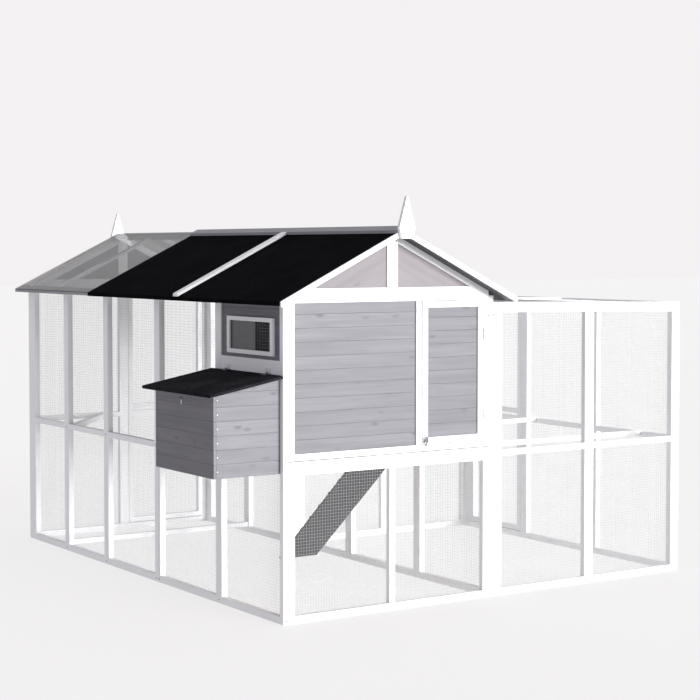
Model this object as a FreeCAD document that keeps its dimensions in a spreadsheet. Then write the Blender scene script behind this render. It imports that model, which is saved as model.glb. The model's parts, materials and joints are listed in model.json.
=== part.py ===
import FreeCAD, Part
import os
import re
import Sketcher

os.makedirs("parts", exist_ok=True)

# Walk-in chicken coop: a gabled run with a raised hen house in its front bay, a nest box on the
# left wall, and a lower flat-roofed run on the right. All sizes are in millimetres.
# Working frame: X from the left wall's outer face, Y from the front face to the back, Z up from the
# ground. Every sub-part is then shifted so that the origin lies on the ground, under the ridge, at
# the middle of the front wall's thickness.
SIZES = {
    # timber and sheet
    "lumber": 27,
    "sill": 31,
    "wide_stile": 50,
    "board": 12,
    "course": 57,
    "felt": 3,
    "wire": 1.2,
    "recess": 6,
    "board_recess": 8,
    "clearance": 1,
    # main run
    "coop_width": 1078,
    "coop_length": 2580,
    "wall_height": 1327,
    "mid_rail": 619,
    "house_stile": 511,
    "panel_joint": 1111,
    "third_stile": 1626,
    "fourth_stile": 2084,
    "jamb_edge": 565,
    # house
    "front_top": 1337,
    "front_base": 667,
    "slot_base": 634,
    "mullion": 664,
    "back_wall": 530,
    "lid_rail": 1018,
    "lid_rail_depth": 58,
    "hole_left": 752,
    "hole_width": 252,
    "hole_courses": 6,
    # roof
    "roof_pitch": 26,
    "eave_overhang": 62,
    "front_overhang": 90,
    "roof_module": 900,
    "eave_height": 1304,
    "gable_base": 1368,
    "strip_width": 44,
    "cap_width": 40,
    "clear_sheet": 4,
    "first_rafter": 420,
    "finial_width": 80,
    "finial_low": 1573,
    "finial_wide": 1618,
    "finial_tip": 1748,
    "finial_board": 18,
    "finial_taper": 12,
    "finial_point": 3,
    # side run
    "side_width": 1120,
    "side_length": 1662,
    "side_height": 1280,
    "side_drop": 18,
    "panel": 18,
    "side_mullion": 533,
    "side_edge": 48,
    "side_second": 525,
    "side_joint": 1071,
    # nest box
    "nest_reach": 309,
    "nest_near": 23,
    "nest_width": 498,
    "nest_base": 617,
    "nest_front": 946,
    "lid_slope": 0.185,
    "lid_top": 1018.5,
    "lid_reach": 341,
    "lid_near": -8,
    "lid_width": 593,
    "lid_bed": 1.5,
    "lid_felt_rise": 0.5,
    "lid_fold": 2,
    "lid_wall_gap": 3,
    "partition_drop": 20,
    # window in the house's left wall
    "window_near": 74,
    "window_low": 1092,
    "window_width": 377,
    "window_height": 156,
    "window_border": 22,
    "window_band": 18,
    "trim": 12,
    "rebate": 4,
    "rebate_lap": 7,
    "pane": 3,
    "pane_width": 208,
    # ramp, tray and perches
    "ramp_left": 770,
    "ramp_width": 215,
    "ramp_run": 748,
    "ramp_board": 12,
    "ramp_top": 615,
    "ramp_gap": 8,
    "lug": 2,
    "lug_width": 16,
    "lug_gap": 0.5,
    "pin_reach": 4,
    "cleat": 10,
    "cleat_count": 9,
    "cleat_inset": 8,
    "first_cleat": 0.6,
    "tray_sheet": 2,
    "tray_lip": 22,
    "tray_front": 18,
    "tray_front_height": 28,
    "tray_depth": 500,
    "tray_side_gap": 4,
    "perch": 24,
    "perch_drop": 19,
    "near_perch": 228,
    "far_perch": 1017,
    "bracket_gap": 2,
    "tie_offset": 8,
    "brace_start": 2060,
    "brace_run": 421,
    "brace_width": 41.6,
    "brace_end": 35.5,
    # doors and hardware
    "door_gap": 3,
    "rail_gap": 12,
    "plate": 1.5,
    "knuckle": 3.2,
    "pin": 1.4,
    "running": 0.06,
    "hinge_gap": 0.4,
    "stand_off": 3.7,
    "hinge_length": 50,
    "leaf_width": 20,
    "lid_hinge_length": 38,
    "lid_plate": 16,
    "near_hinge": 99,
    "far_hinge": 432,
    "house_low_hinge": 788.5,
    "house_high_hinge": 1134.5,
    "run_low_hinge": 108,
    "run_mid_hinge": 703,
    "run_high_hinge": 1111,
    "button_width": 18,
    "button_length": 52,
    "button_plate": 4,
    "hook_place": 291,
    "hook_drop": 24,
    "screw_head": 5,
    "screw_shank": 2.4,
    "head_depth": 1.2,
    "head_dome": 2,
    "screw_gap": 0.3,
    "latch_width": 26,
    "latch_height": 26,
    "latch_inset": 2,
    "latch_rise": 5,
}

doc = FreeCAD.newDocument("ChickenCoop")
sheet = doc.addObject("Spreadsheet::Sheet", "Dimensions")
for row, (alias, size) in enumerate(SIZES.items(), start=1):
    sheet.set(f"A{row}", alias)
    sheet.set(f"B{row}", str(size))
    sheet.setAlias(f"B{row}", alias)
doc.recompute()

SHIFT = ("-coop_width / 2", "-lumber / 2", "0")
SUBPARTS = []


def bound(text):
    """Point every alias in an expression at the sheet."""
    return re.sub(r"[a-z][a-z_]+", lambda word: word_in_sheet(word.group(0)), str(text))


def word_in_sheet(word):
    return f"Dimensions.{word}" if word in SIZES else word


def place(thing, corner):
    """Bind an object's position to three expressions."""
    for axis, text in zip("xyz", corner):
        thing.setExpression(f"Placement.Base.{axis}", bound(text))


def stick(corner, size):
    """A straight piece of timber, board or plate."""
    piece = doc.addObject("Part::Box", "Stick")
    for side, text in zip(("Length", "Width", "Height"), size):
        piece.setExpression(side, bound(text))
    place(piece, corner)
    return piece


def rod(corner, radius, length, turn=None):
    """A round piece standing along Z, or turned to another axis."""
    piece = doc.addObject("Part::Cylinder", "Rod")
    piece.setExpression("Radius", bound(radius))
    piece.setExpression("Height", bound(length))
    if turn:
        piece.Placement.Rotation = turn
    place(piece, corner)
    return piece


def profile(plane, outline, depth, start="0"):
    """A padded outline; XZ outlines grow along +Y, XY ones along +Z and YZ ones along +X."""
    body = doc.addObject("PartDesign::Body", "Profile")
    sketch = body.newObject("Sketcher::SketchObject", "Outline")
    role = f"{plane}_Plane"
    base = next(item for item in body.Origin.OriginFeatures if item.Role == role)
    sketch.AttachmentSupport = [(base, "")]
    sketch.MapMode = "FlatFace"
    values = [tuple(evaluate(text) for text in corner) for corner in outline]
    for number, (across, up) in enumerate(values):
        following = values[(number + 1) % len(values)]
        begin = FreeCAD.Vector(across, up, 0)
        end = FreeCAD.Vector(following[0], following[1], 0)
        sketch.addGeometry(Part.LineSegment(begin, end), False)
    for number in range(len(outline)):
        following = (number + 1) % len(outline)
        sketch.addConstraint(Sketcher.Constraint("Coincident", number, 2, following, 1))
    for number, corner in enumerate(outline):
        for direction, text, value in zip(("DistanceX", "DistanceY"), corner, values[number]):
            index = sketch.addConstraint(Sketcher.Constraint(direction, -1, 1, number, 1, value))
            sketch.setExpression(f"Constraints[{index}]", bound(text))
    pad = body.newObject("PartDesign::Pad", "Pad")
    pad.Profile = sketch
    pad.Reversed = plane == "XZ"
    pad.setExpression("Length", bound(depth))
    along = {"XZ": 1, "YZ": 0, "XY": 2}[plane]
    corner = ["0", "0", "0"]
    corner[along] = start
    place(body, corner)
    return body


def evaluate(text):
    """The present value of an expression over the sheet."""
    probe = sheet.evalExpression(bound(text))
    return float(getattr(probe, "Value", probe))


def grouped(label, pieces):
    """A named sub-part made of separate pieces of the same kind."""
    group = doc.addObject("Part::Compound", label)
    group.Links = pieces
    return finished(label, group)


def finished(label, thing):
    """Name a sub-part and bring it into the coop's own frame."""
    thing.Label = label
    place(thing, SHIFT)
    SUBPARTS.append(thing)
    return thing


def joined(pieces):
    """Pieces made as one."""
    union = doc.addObject("Part::MultiFuse", "Joined")
    union.Shapes = pieces
    return union


def cut(base, tool):
    """What is left of one piece when another is taken out of it."""
    remainder = doc.addObject("Part::Cut", "Remainder")
    remainder.Base = base
    remainder.Tool = tool
    return remainder


def clipped(base, tool):
    """The part of one piece that lies inside another."""
    shared = doc.addObject("Part::Common", "Clipped")
    shared.Base = base
    shared.Tool = tool
    return shared


def roof_line(x):
    """Height of the left slope's underside above a working X."""
    return f"(eave_height + (({x}) + eave_overhang) * tan(roof_pitch))"


def mirrored_line(x):
    """Height of the right slope's underside above a working X."""
    return f"(eave_height + (coop_width - ({x}) + eave_overhang) * tan(roof_pitch))"


def side_line(x):
    """Height of the side run's sloping wall top above a working X."""
    return f"(side_height - (({x}) - coop_width) * side_drop / side_width)"


BAYS = (
    ("lumber", "house_stile"),
    ("house_stile + wide_stile", "panel_joint - lumber"),
    ("panel_joint + lumber", "third_stile"),
    ("third_stile + wide_stile", "fourth_stile"),
    ("fourth_stile + wide_stile", "coop_length - lumber - wide_stile"),
)
Z_AXIS = FreeCAD.Vector(0, 0, 1)
Y_AXIS = FreeCAD.Vector(0, 1, 0)
X_AXIS = FreeCAD.Vector(1, 0, 0)
ALONG_X = FreeCAD.Rotation(Y_AXIS, 90)
UNDER_TOP_RAIL = "wall_height - lumber"
OVER_MID_RAIL = "mid_rail + lumber"
RAMP_AXIS = (
    "(back_wall + board + ramp_gap + ramp_board / 2 * sin(atan(ramp_top / ramp_run)))",
    "(ramp_top + ramp_board / 2 * cos(atan(ramp_top / ramp_run)))",
)


def wall_stick(x, near, far, low, high):
    """A stick in a wall that runs front to back."""
    return stick((x, near, low), ("lumber", f"{far} - ({near})", f"{high} - ({low})"))


def cross_stick(y, left, right, low, high):
    """A stick in a wall that runs left to right."""
    return stick((left, y, low), (f"{right} - ({left})", "lumber", f"{high} - ({low})"))


def front_panel(x):
    """The wall frame over the first two bays, without what is special to one side."""
    end = "panel_joint"
    return [
        wall_stick(x, "0", "lumber", "0", "wall_height"),
        wall_stick(x, f"{end} - lumber", end, "0", "wall_height"),
        wall_stick(x, "lumber", f"{end} - lumber", "0", "sill"),
        wall_stick(x, "lumber", f"{end} - lumber", UNDER_TOP_RAIL, "wall_height"),
        wall_stick(x, "house_stile", "house_stile + wide_stile", "sill", UNDER_TOP_RAIL),
        wall_stick(x, *BAYS[0], "mid_rail", OVER_MID_RAIL),
        wall_stick(x, *BAYS[1], "mid_rail", OVER_MID_RAIL),
    ]


def rear_panel(x):
    """The wall frame over the last three bays."""
    end = "coop_length - lumber"
    pieces = [
        wall_stick(x, "panel_joint", "panel_joint + lumber", "0", "wall_height"),
        wall_stick(x, f"{end} - wide_stile", end, "0", "wall_height"),
        wall_stick(x, "panel_joint + lumber", f"{end} - wide_stile", "0", "sill"),
        wall_stick(x, "panel_joint + lumber", f"{end} - wide_stile", UNDER_TOP_RAIL, "wall_height"),
    ]
    for stile in ("third_stile", "fourth_stile"):
        pieces.append(wall_stick(x, stile, f"{stile} + wide_stile", "sill", UNDER_TOP_RAIL))
    for bay in BAYS[2:]:
        pieces.append(wall_stick(x, *bay, "mid_rail", OVER_MID_RAIL))
    return pieces


def wall_mesh(x, near, far, low, high):
    """A sheet of welded mesh at the middle of a side wall's thickness."""
    middle = f"{x} + (lumber - wire) / 2"
    return stick((middle, near, low), ("wire", f"{far} - ({near})", f"{high} - ({low})"))


def cross_mesh(y, left, right, low, high):
    """A sheet of welded mesh at the middle of a front or rear wall's thickness."""
    middle = f"{y} + (lumber - wire) / 2"
    return stick((left, middle, low), (f"{right} - ({left})", "wire", f"{high} - ({low})"))


def long_walls():
    """The left wall and the right wall that the side run shares."""
    lid_rail = wall_stick("0", *BAYS[0], "lid_rail", "lid_rail + lid_rail_depth")
    grouped("left_wall_frame", front_panel("0") + rear_panel("0") + [lid_rail])
    right = "coop_width - lumber"
    grouped("right_wall_frame", front_panel(right) + rear_panel(right))
    left_sheets = [wall_mesh("0", *BAYS[0], "sill", "mid_rail")]
    right_sheets = [wall_mesh(right, *BAYS[0], "sill", "mid_rail")]
    for bay in BAYS[1:]:
        left_sheets.append(wall_mesh("0", *bay, "sill", "mid_rail"))
        left_sheets.append(wall_mesh("0", *bay, OVER_MID_RAIL, UNDER_TOP_RAIL))
        right_sheets.append(wall_mesh(right, *bay, OVER_MID_RAIL, UNDER_TOP_RAIL))
    for bay in BAYS[2:]:
        right_sheets.append(wall_mesh(right, *bay, "sill", "mid_rail"))
    grouped("left_wall_mesh", left_sheets)
    grouped("right_wall_mesh", right_sheets)


def rear_wall():
    """The rear wall with its doorway; returns its mesh."""
    y = "coop_length - lumber"
    jamb = "jamb_edge - wide_stile"
    grouped("rear_wall_frame", [
        cross_stick(y, "0", "wide_stile", "0", "wall_height"),
        cross_stick(y, "coop_width - wide_stile", "coop_width", "0", "wall_height"),
        cross_stick(y, "wide_stile", "coop_width - wide_stile", "0", "sill"),
        cross_stick(y, "wide_stile", "coop_width - wide_stile", UNDER_TOP_RAIL, "wall_height"),
        cross_stick(y, jamb, "jamb_edge", "sill", UNDER_TOP_RAIL),
        cross_stick(y, "wide_stile", jamb, "mid_rail", OVER_MID_RAIL),
    ])
    return [
        cross_mesh(y, "wide_stile", jamb, "sill", "mid_rail"),
        cross_mesh(y, "wide_stile", jamb, OVER_MID_RAIL, UNDER_TOP_RAIL),
    ]


def front_wall():
    """The meshed front below the house and the boarded house front; returns the mesh."""
    left = "lumber"
    right = "coop_width - lumber"
    top = "slot_base"
    middle = "(coop_width - lumber) / 2"
    grouped("front_lower_frame", [
        cross_stick("0", left, f"{left} + lumber", "0", top),
        cross_stick("0", f"{right} - lumber", right, "0", top),
        cross_stick("0", f"{left} + lumber", f"{right} - lumber", "0", "sill"),
        cross_stick("0", f"{left} + lumber", f"{right} - lumber", f"{top} - lumber", top),
        cross_stick("0", middle, f"{middle} + lumber", "sill", f"{top} - lumber"),
    ])
    base = "front_base + lumber"
    head = "front_top - lumber"
    grouped("front_upper_frame", [
        cross_stick("0", left, right, "front_base", base),
        cross_stick("0", left, right, head, "front_top"),
        cross_stick("0", left, f"{left} + lumber", base, head),
        cross_stick("0", f"{right} - lumber", right, base, head),
        cross_stick("0", "mullion", "mullion + lumber", base, head),
    ])
    boards = courses("front_top - lumber", "front_base + lumber", lambda low, depth: stick(
        ("2 * lumber", "board_recess", low), ("mullion - 2 * lumber", "board", depth)))
    grouped("front_boards", boards)
    return [
        cross_mesh("0", f"{left} + lumber", middle, "sill", f"{top} - lumber"),
        cross_mesh("0", f"{middle} + lumber", f"{right} - lumber", "sill", f"{top} - lumber"),
    ]


def courses(top, base, make):
    """Horizontal boards laid from a base height up; the last one is ripped to fit."""
    total = evaluate(f"{top} - ({base})")
    depth = evaluate("course")
    full = int(total // depth)
    pieces = [make(f"{base} + {number} * course", "course") for number in range(full)]
    if total - full * depth > 1:
        pieces.append(make(f"{base} + {full} * course", f"{top} - ({base}) - {full} * course"))
    return pieces


def house_walls():
    """Boarding on the house's left, right and back, and its floor."""
    near, far = BAYS[0]
    span = f"{far} - {near}"
    opening_near = "window_near + window_border"
    opening_far = "window_near + window_width - window_border"
    opening_low = "window_low + window_band"
    opening_high = "window_low + window_height - window_band"
    left = []
    for start, end, low, high in (
        (near, far, "lid_rail + lid_rail_depth", opening_low),
        (near, opening_near, opening_low, opening_high),
        (opening_far, far, opening_low, opening_high),
        (near, far, opening_high, UNDER_TOP_RAIL),
    ):
        width = f"{end} - ({start})"
        left += courses(high, low, lambda base, depth: stick(
            ("recess", start, base), ("board", width, depth)))
    grouped("house_left_boards", left)
    right = courses(UNDER_TOP_RAIL, OVER_MID_RAIL, lambda low, depth: stick(
        ("coop_width - recess - board", near, low), ("board", span, depth)))
    grouped("house_right_boards", right)
    ridge = "coop_width / 2"
    inside = "coop_width - lumber"
    back = doc.addObject("Part::Compound", "BackBoards")
    floor_top = "slot_base"
    back.Links = courses(roof_line(ridge), floor_top, lambda low, depth: stick(
        ("lumber", "back_wall", low), ("coop_width - 2 * lumber", "board", depth)))
    outline = (
        ("lumber", floor_top),
        (inside, floor_top),
        (inside, f"{mirrored_line(inside)} - clearance"),
        (ridge, f"{roof_line(ridge)} - clearance"),
        ("lumber", f"{roof_line('lumber')} - clearance"),
    )
    shaped = clipped(back, profile("XZ", outline, "board", "back_wall"))
    hole = stick(("hole_left", "back_wall - board", floor_top),
                 ("hole_width", "3 * board", "hole_courses * course"))
    finished("house_back_boards", cut(shaped, hole))
    floor = stick(("lumber", "lumber", f"{floor_top} - board"),
                  ("coop_width - 2 * lumber", "back_wall + board - lumber", "board"))
    under = f"{floor_top} - board - lumber"
    grouped("house_floor", [
        floor,
        cross_stick("back_wall + board - lumber", "lumber", inside, under, f"{under} + lumber"),
        cross_stick("back_wall / 2", "lumber", inside, under, f"{under} + lumber"),
    ])


def gables():
    """Two timber triangles under the roof ends, each made of two halves."""
    ridge = "coop_width / 2"
    width = "coop_width"
    foot = "((gable_base - eave_height) / tan(roof_pitch) - eave_overhang)"
    lap = "lumber / cos(roof_pitch)"
    inner = f"({foot} + {lap} / tan(roof_pitch))"
    post = f"({ridge} - lumber)"
    left_half = [
        (("lumber", "front_top"), (ridge, "front_top"), (ridge, "gable_base"), (foot, "gable_base"),
         ("lumber", roof_line("lumber"))),
        ((post, "gable_base"), (ridge, "gable_base"), (ridge, roof_line(ridge)), (post, roof_line(post))),
        ((foot, "gable_base"), (inner, "gable_base"), (post, f"{roof_line(post)} - {lap}"),
         (post, roof_line(post))),
    ]
    infill = ((inner, "gable_base"), (post, "gable_base"), (post, f"{roof_line(post)} - {lap}"))
    right_half = [tuple((f"{width} - {x}", z) for x, z in outline) for outline in left_half]
    right_infill = tuple((f"{width} - {x}", z) for x, z in infill)
    rear = "coop_length - lumber"
    pieces = [cross_stick(rear, "lumber", "coop_width - lumber", "wall_height", "front_top")]
    for start in ("0", rear):
        pieces += [profile("XZ", outline, "lumber", start) for outline in left_half + right_half]
    grouped("gable_frames", pieces)
    grouped("gable_boards", [
        profile("XZ", infill, "board", "recess"),
        profile("XZ", right_infill, "board", "recess"),
        profile("XZ", infill, "board", f"{rear} + recess"),
        profile("XZ", right_infill, "board", f"{rear} + recess"),
    ])


def slope_band(side, low, high, start, end):
    """A band along one roof slope, between two vertical heights over its underside."""
    near, far = start, end
    outline = []
    for x, lift in ((near, low), (far, low), (far, high), (near, high)):
        outline.append((x, f"{roof_line(x)} + ({lift}) / cos(roof_pitch)"))
    if side == "right":
        outline = [(f"coop_width - ({x})", z) for x, z in outline]
    return tuple(outline)


def roof():
    """Rafters, boards with felt on two modules, a clear module, strips, cap and finials."""
    eave = "-eave_overhang"
    ridge = "coop_width / 2"
    front = "-front_overhang"
    rafters, boards, felts, frames, clear, trims, caps = [], [], [], [], [], [], []
    clear_start = f"{front} + 2 * roof_module"
    for side in ("left", "right"):
        hang = slope_band(side, "-lumber", "0", "lumber", ridge)
        for number in range(4):
            start = f"{front} + {number} * roof_module / 2 + first_rafter"
            rafters.append(profile("XZ", hang, "lumber", start))
        board = slope_band(side, "0", "board", eave, ridge)
        felt = slope_band(side, "board", "board + felt", eave, ridge)
        fold = slope_band(side, "0", "board + felt", f"{eave} - felt", eave)
        barge = slope_band(side, "-recess", "board + felt", eave, ridge)
        trims.append(profile("XZ", barge, "board", front))
        for start, length in ((f"{front} + board", "roof_module - board"),
                              (f"{front} + roof_module", "roof_module")):
            boards.append(profile("XZ", board, length, start))
            felts.append(profile("XZ", felt, length, start))
            felts.append(profile("XZ", fold, length, start))
        strip = slope_band(side, "board + felt", "2 * board + felt", eave, f"{ridge} - cap_width")
        trims.append(profile("XZ", strip, "strip_width", f"{front} + roof_module - strip_width / 2"))
        cap = slope_band(side, "board + felt", "2 * board + felt", f"{ridge} - cap_width", ridge)
        caps.append(profile("XZ", cap, "2 * roof_module", front))
        for start, width in (
            (clear_start, "lumber"),
            (f"{clear_start} + roof_module / 2 - strip_width / 2", "strip_width"),
            (f"{clear_start} + roof_module - strip_width", "strip_width"),
        ):
            rail = slope_band(side, "0", "board", f"{eave} + strip_width", f"{ridge} - strip_width")
            frames.append(profile("XZ", rail, width, start))
        for low, high in ((eave, f"{eave} + strip_width"), (f"{ridge} - strip_width", ridge)):
            rail = slope_band(side, "0", "board", low, high)
            frames.append(profile("XZ", rail, "roof_module", clear_start))
        sheet_band = slope_band(side, "board", "board + clear_sheet", eave, ridge)
        clear.append(profile("XZ", sheet_band, "roof_module", clear_start))
    grouped("rafters", rafters)
    grouped("roof_boards", boards)
    grouped("roof_felt", felts)
    grouped("clear_roof_frame", frames)
    grouped("clear_roof_sheets", clear)
    grouped("roof_trim_boards", trims)
    grouped("ridge_cap", caps)
    grouped("ridge_finials", [
        finial(f"{front} - finial_board", "0"),
        finial(f"{front} + 3 * roof_module", "board + felt + finial_taper"),
    ])


def finial(start, drop):
    """A pointed board at a ridge end, let down by some amount."""
    ridge = "coop_width / 2"
    half = "finial_width / 2"
    low, wide, tip = (f"{name} - ({drop})" for name in ("finial_low", "finial_wide", "finial_tip"))
    outline = (
        (f"{ridge} - {half} + finial_taper", low),
        (f"{ridge} + {half} - finial_taper", low),
        (f"{ridge} + {half}", wide),
        (f"{ridge} + finial_point", tip),
        (f"{ridge} - finial_point", tip),
        (f"{ridge} - {half}", wide),
    )
    return profile("XZ", outline, "finial_board", start)


def side_cross_wall(label, y):
    """The side run's front or rear wall, whose top follows its roof."""
    left = "coop_width"
    middle = "coop_width + side_mullion"
    right = "coop_width + side_width"
    stiles = (
        (left, f"{left} + side_edge"),
        (middle, f"{middle} + wide_stile"),
        (f"{right} - side_edge", right),
    )
    pieces = []
    for low, high in stiles:
        outline = ((low, "0"), (high, "0"), (high, f"{side_line(high)} - lumber"),
                   (low, f"{side_line(low)} - lumber"))
        pieces.append(profile("XZ", outline, "lumber", y))
    rail = ((left, f"{side_line(left)} - lumber"), (right, f"{side_line(right)} - lumber"),
            (right, side_line(right)), (left, side_line(left)))
    pieces.append(profile("XZ", rail, "lumber", y))
    sheets = []
    for (_, start), (end, _) in zip(stiles, stiles[1:]):
        pieces.append(cross_stick(y, start, end, "0", "sill"))
        pieces.append(cross_stick(y, start, end, "mid_rail", OVER_MID_RAIL))
        sheets.append(cross_mesh(y, start, end, "sill", "mid_rail"))
        upper = ((start, OVER_MID_RAIL), (end, OVER_MID_RAIL), (end, f"{side_line(end)} - lumber"),
                 (start, f"{side_line(start)} - lumber"))
        sheets.append(profile("XZ", upper, "wire", f"{y} + (lumber - wire) / 2"))
    grouped(label, pieces)
    return sheets


def side_run():
    """The flat-roofed run: front, right and rear walls, and two roof panels."""
    sheets = side_cross_wall("side_front_frame", "0")
    sheets += side_cross_wall("side_rear_frame", "side_length - lumber")
    x = "coop_width + side_width - lumber"
    top = f"({side_line('coop_width + side_width')})"
    end = "side_length - lumber"
    second = "lumber + side_second"
    third = "lumber + side_joint"
    last = f"{end} - wide_stile"
    pieces = [
        wall_stick(x, "lumber", "2 * lumber", "0", top),
        wall_stick(x, second, f"{second} + wide_stile", "sill", f"{top} - lumber"),
        wall_stick(x, third, f"{third} + wide_stile", "sill", f"{top} - lumber"),
        wall_stick(x, last, end, "0", top),
        wall_stick(x, "2 * lumber", last, "0", "sill"),
        wall_stick(x, "2 * lumber", last, f"{top} - lumber", top),
    ]
    for near, far in (("2 * lumber", second), (f"{second} + wide_stile", third)):
        pieces.append(wall_stick(x, near, far, "mid_rail", OVER_MID_RAIL))
        sheets.append(wall_mesh(x, near, far, "sill", "mid_rail"))
        sheets.append(wall_mesh(x, near, far, f"{OVER_MID_RAIL} + plate", f"{top} - lumber"))
    grouped("side_right_frame", pieces)
    grouped("side_run_mesh", sheets)
    side_roof()


def side_roof():
    """Two meshed panels laid side by side on the side run's walls."""
    half = "side_width / 2"
    bars, sheets = [], []
    for start in ("coop_width", f"coop_width + {half}"):
        edge = f"{start} + {half}"
        for low, high in ((start, f"{start} + lumber"), (f"{edge} - lumber", edge)):
            bars.append(profile("XZ", tilted(low, high, "0", "panel"), "side_length"))
        low, high = f"{start} + lumber", f"{edge} - lumber"
        for near in ("0", "(side_length - lumber) / 2", "side_length - lumber"):
            bars.append(profile("XZ", tilted(low, high, "0", "panel"), "lumber", near))
        for near in ("lumber", "(side_length + lumber) / 2"):
            panel = tilted(low, high, "panel / 2", "panel / 2 + wire")
            sheets.append(profile("XZ", panel, "(side_length - 3 * lumber) / 2", near))
    grouped("side_roof_frames", bars)
    grouped("side_roof_mesh", sheets)


def tilted(left, right, low, high):
    """A slightly falling band over the side run."""
    return ((left, f"{side_line(left)} + {low}"), (right, f"{side_line(right)} + {low}"),
            (right, f"{side_line(right)} + {high}"), (left, f"{side_line(left)} + {high}"))


def nest_lid_line(x, drop="0"):
    """Height of a line that falls with the nest lid, some way below its top."""
    return f"(lid_top + ({x}) * lid_slope - ({drop}))"


def nest_box():
    """The nest box on the left wall, with its lid."""
    outer = "-nest_reach"
    inner = "board - nest_reach"
    far = "nest_near + nest_width"
    fronts = courses("nest_front", "nest_base", lambda low, depth: stick(
        (outer, "nest_near", low), ("board", "nest_width", depth)))
    grouped("nest_front_boards", fronts)
    outline = ((inner, "nest_base"), ("0", "nest_base"), ("0", nest_lid_line("0", "board + lid_wall_gap")),
               (inner, nest_lid_line(inner, "board + lid_wall_gap")))
    sides = []
    for near in ("nest_near", f"{far} - board"):
        stack = doc.addObject("Part::Compound", "NestSide")
        stack.Links = courses(nest_lid_line("0"), "nest_base", lambda low, depth: stick(
            (inner, near, low), ("nest_reach - board", "board", depth)))
        sides.append(clipped(stack, profile("XZ", outline, "board", near)))
    raised = ((inner, "nest_base + board"), ("0", "nest_base + board"),
              ("0", nest_lid_line("0", "board + partition_drop")),
              (inner, nest_lid_line(inner, "board + partition_drop")))
    sides.append(profile("XZ", raised, "board", "nest_near + (nest_width - board) / 2"))
    grouped("nest_side_boards", sides)
    floor = stick((inner, "nest_near + board", "nest_base"),
                  ("nest_reach - board", "nest_width - 2 * board", "board"))
    grouped("nest_floor", [floor])
    edge = "-lid_reach"
    board_edge = "lid_fold - lid_reach"
    wall = "-lid_wall_gap"
    near = "lid_near + lid_fold"
    under, bed, over = "board + lid_bed", "lid_bed", "-lid_felt_rise"
    grouped("nest_lid", [lid_layer(board_edge, wall, under, bed, near, "lid_width - 2 * lid_fold")])
    grouped("nest_lid_felt", [
        lid_layer(edge, wall, bed, over, "lid_near", "lid_width"),
        lid_layer(edge, board_edge, under, bed, "lid_near", "lid_width"),
        lid_layer(board_edge, wall, under, bed, "lid_near", "lid_fold"),
        lid_layer(board_edge, wall, under, bed, "lid_near + lid_width - lid_fold", "lid_fold"),
    ])


def lid_layer(left, right, under, over, near, width):
    """A sloping sheet of the nest lid between two depths below its top line."""
    outline = ((left, nest_lid_line(left, under)), (right, nest_lid_line(right, under)),
               (right, nest_lid_line(right, over)), (left, nest_lid_line(left, over)))
    return profile("XZ", outline, width, near)


def ring(x, thickness, border, band):
    """Four strips around the window opening, as wide as asked."""
    far = "window_near + window_width"
    high = "window_low + window_height"
    near = f"window_near + window_border - ({border})"
    low = f"window_low + window_band - ({band})"
    width = f"window_width - 2 * window_border + 2 * ({border})"
    upright = "window_height - 2 * window_band"
    return [
        stick((x, near, low), (thickness, width, band)),
        stick((x, near, f"{high} - window_band"), (thickness, width, band)),
        stick((x, near, "window_low + window_band"), (thickness, border, upright)),
        stick((x, f"{far} - window_border", "window_low + window_band"), (thickness, border, upright)),
    ]


def track(x):
    """The spacer strips behind the trim, set back to leave the pane a track."""
    far = "window_near + window_width"
    high = "window_low + window_height"
    lap = "rebate_lap"
    upright = f"window_height - 2 * window_band + 2 * {lap}"
    low = f"window_low + window_band - {lap}"
    return [
        stick((x, "window_near", "window_low"), ("rebate", "window_width", f"window_band - {lap}")),
        stick((x, "window_near", f"{high} - window_band + {lap}"),
              ("rebate", "window_width", f"window_band - {lap}")),
        stick((x, "window_near", low), ("rebate", f"window_border - {lap}", upright)),
        stick((x, f"{far} - window_border + {lap}", low), ("rebate", f"window_border - {lap}", upright)),
    ]


def window():
    """A trim frame on spacer strips, a pane that slides behind the trim, and mesh."""
    outside = "recess - trim"
    trims = ring(outside, "trim - rebate", "window_border", "window_band")
    grouped("window_frame", trims + track("recess - rebate"))
    far = "window_near + window_width - window_border + rebate_lap - clearance"
    pane = stick(
        ("recess - rebate + (rebate - pane) / 2", f"{far} - pane_width",
         "window_low + window_band - rebate_lap + clearance / 2"),
        ("pane", "pane_width", "window_height - 2 * window_band + 2 * rebate_lap - clearance"))
    grouped("window_pane", [pane])
    mesh = stick(
        ("recess + board / 2", "window_near + window_border", "window_low + window_band"),
        ("wire", "window_width - 2 * window_border", "window_height - 2 * window_band"))
    grouped("window_mesh", [mesh])


def door_leaf(label, corner, width, height, rails):
    """A leaf in the X-Z plane: two stiles, a top and bottom rail and any rails between."""
    x, y, z = corner
    pieces = [
        stick((x, y, z), ("lumber", "lumber", height)),
        stick((f"{x} + {width} - lumber", y, z), ("lumber", "lumber", height)),
    ]
    inside = f"{width} - 2 * lumber"
    for low in ("0", f"{height} - lumber") + rails:
        pieces.append(stick((f"{x} + lumber", y, f"{z} + {low}"), (inside, "lumber", "lumber")))
    grouped(label, pieces)


def house_door():
    """The boarded door in the house front, hung on its right."""
    left = "mullion + lumber + 2 * door_gap"
    width = "(coop_width - 2 * lumber - mullion - lumber - 3 * door_gap)"
    base = "front_base + lumber + door_gap"
    height = "(front_top - front_base - 2 * lumber - 2 * door_gap)"
    door_leaf("house_door_frame", (left, "0", base), width, height, ())
    boards = courses(f"{base} + {height} - lumber", f"{base} + lumber", lambda low, depth: stick(
        (f"{left} + lumber", "board_recess", low), (f"{width} - 2 * lumber", "board", depth)))
    grouped("house_door_boards", boards)


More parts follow.
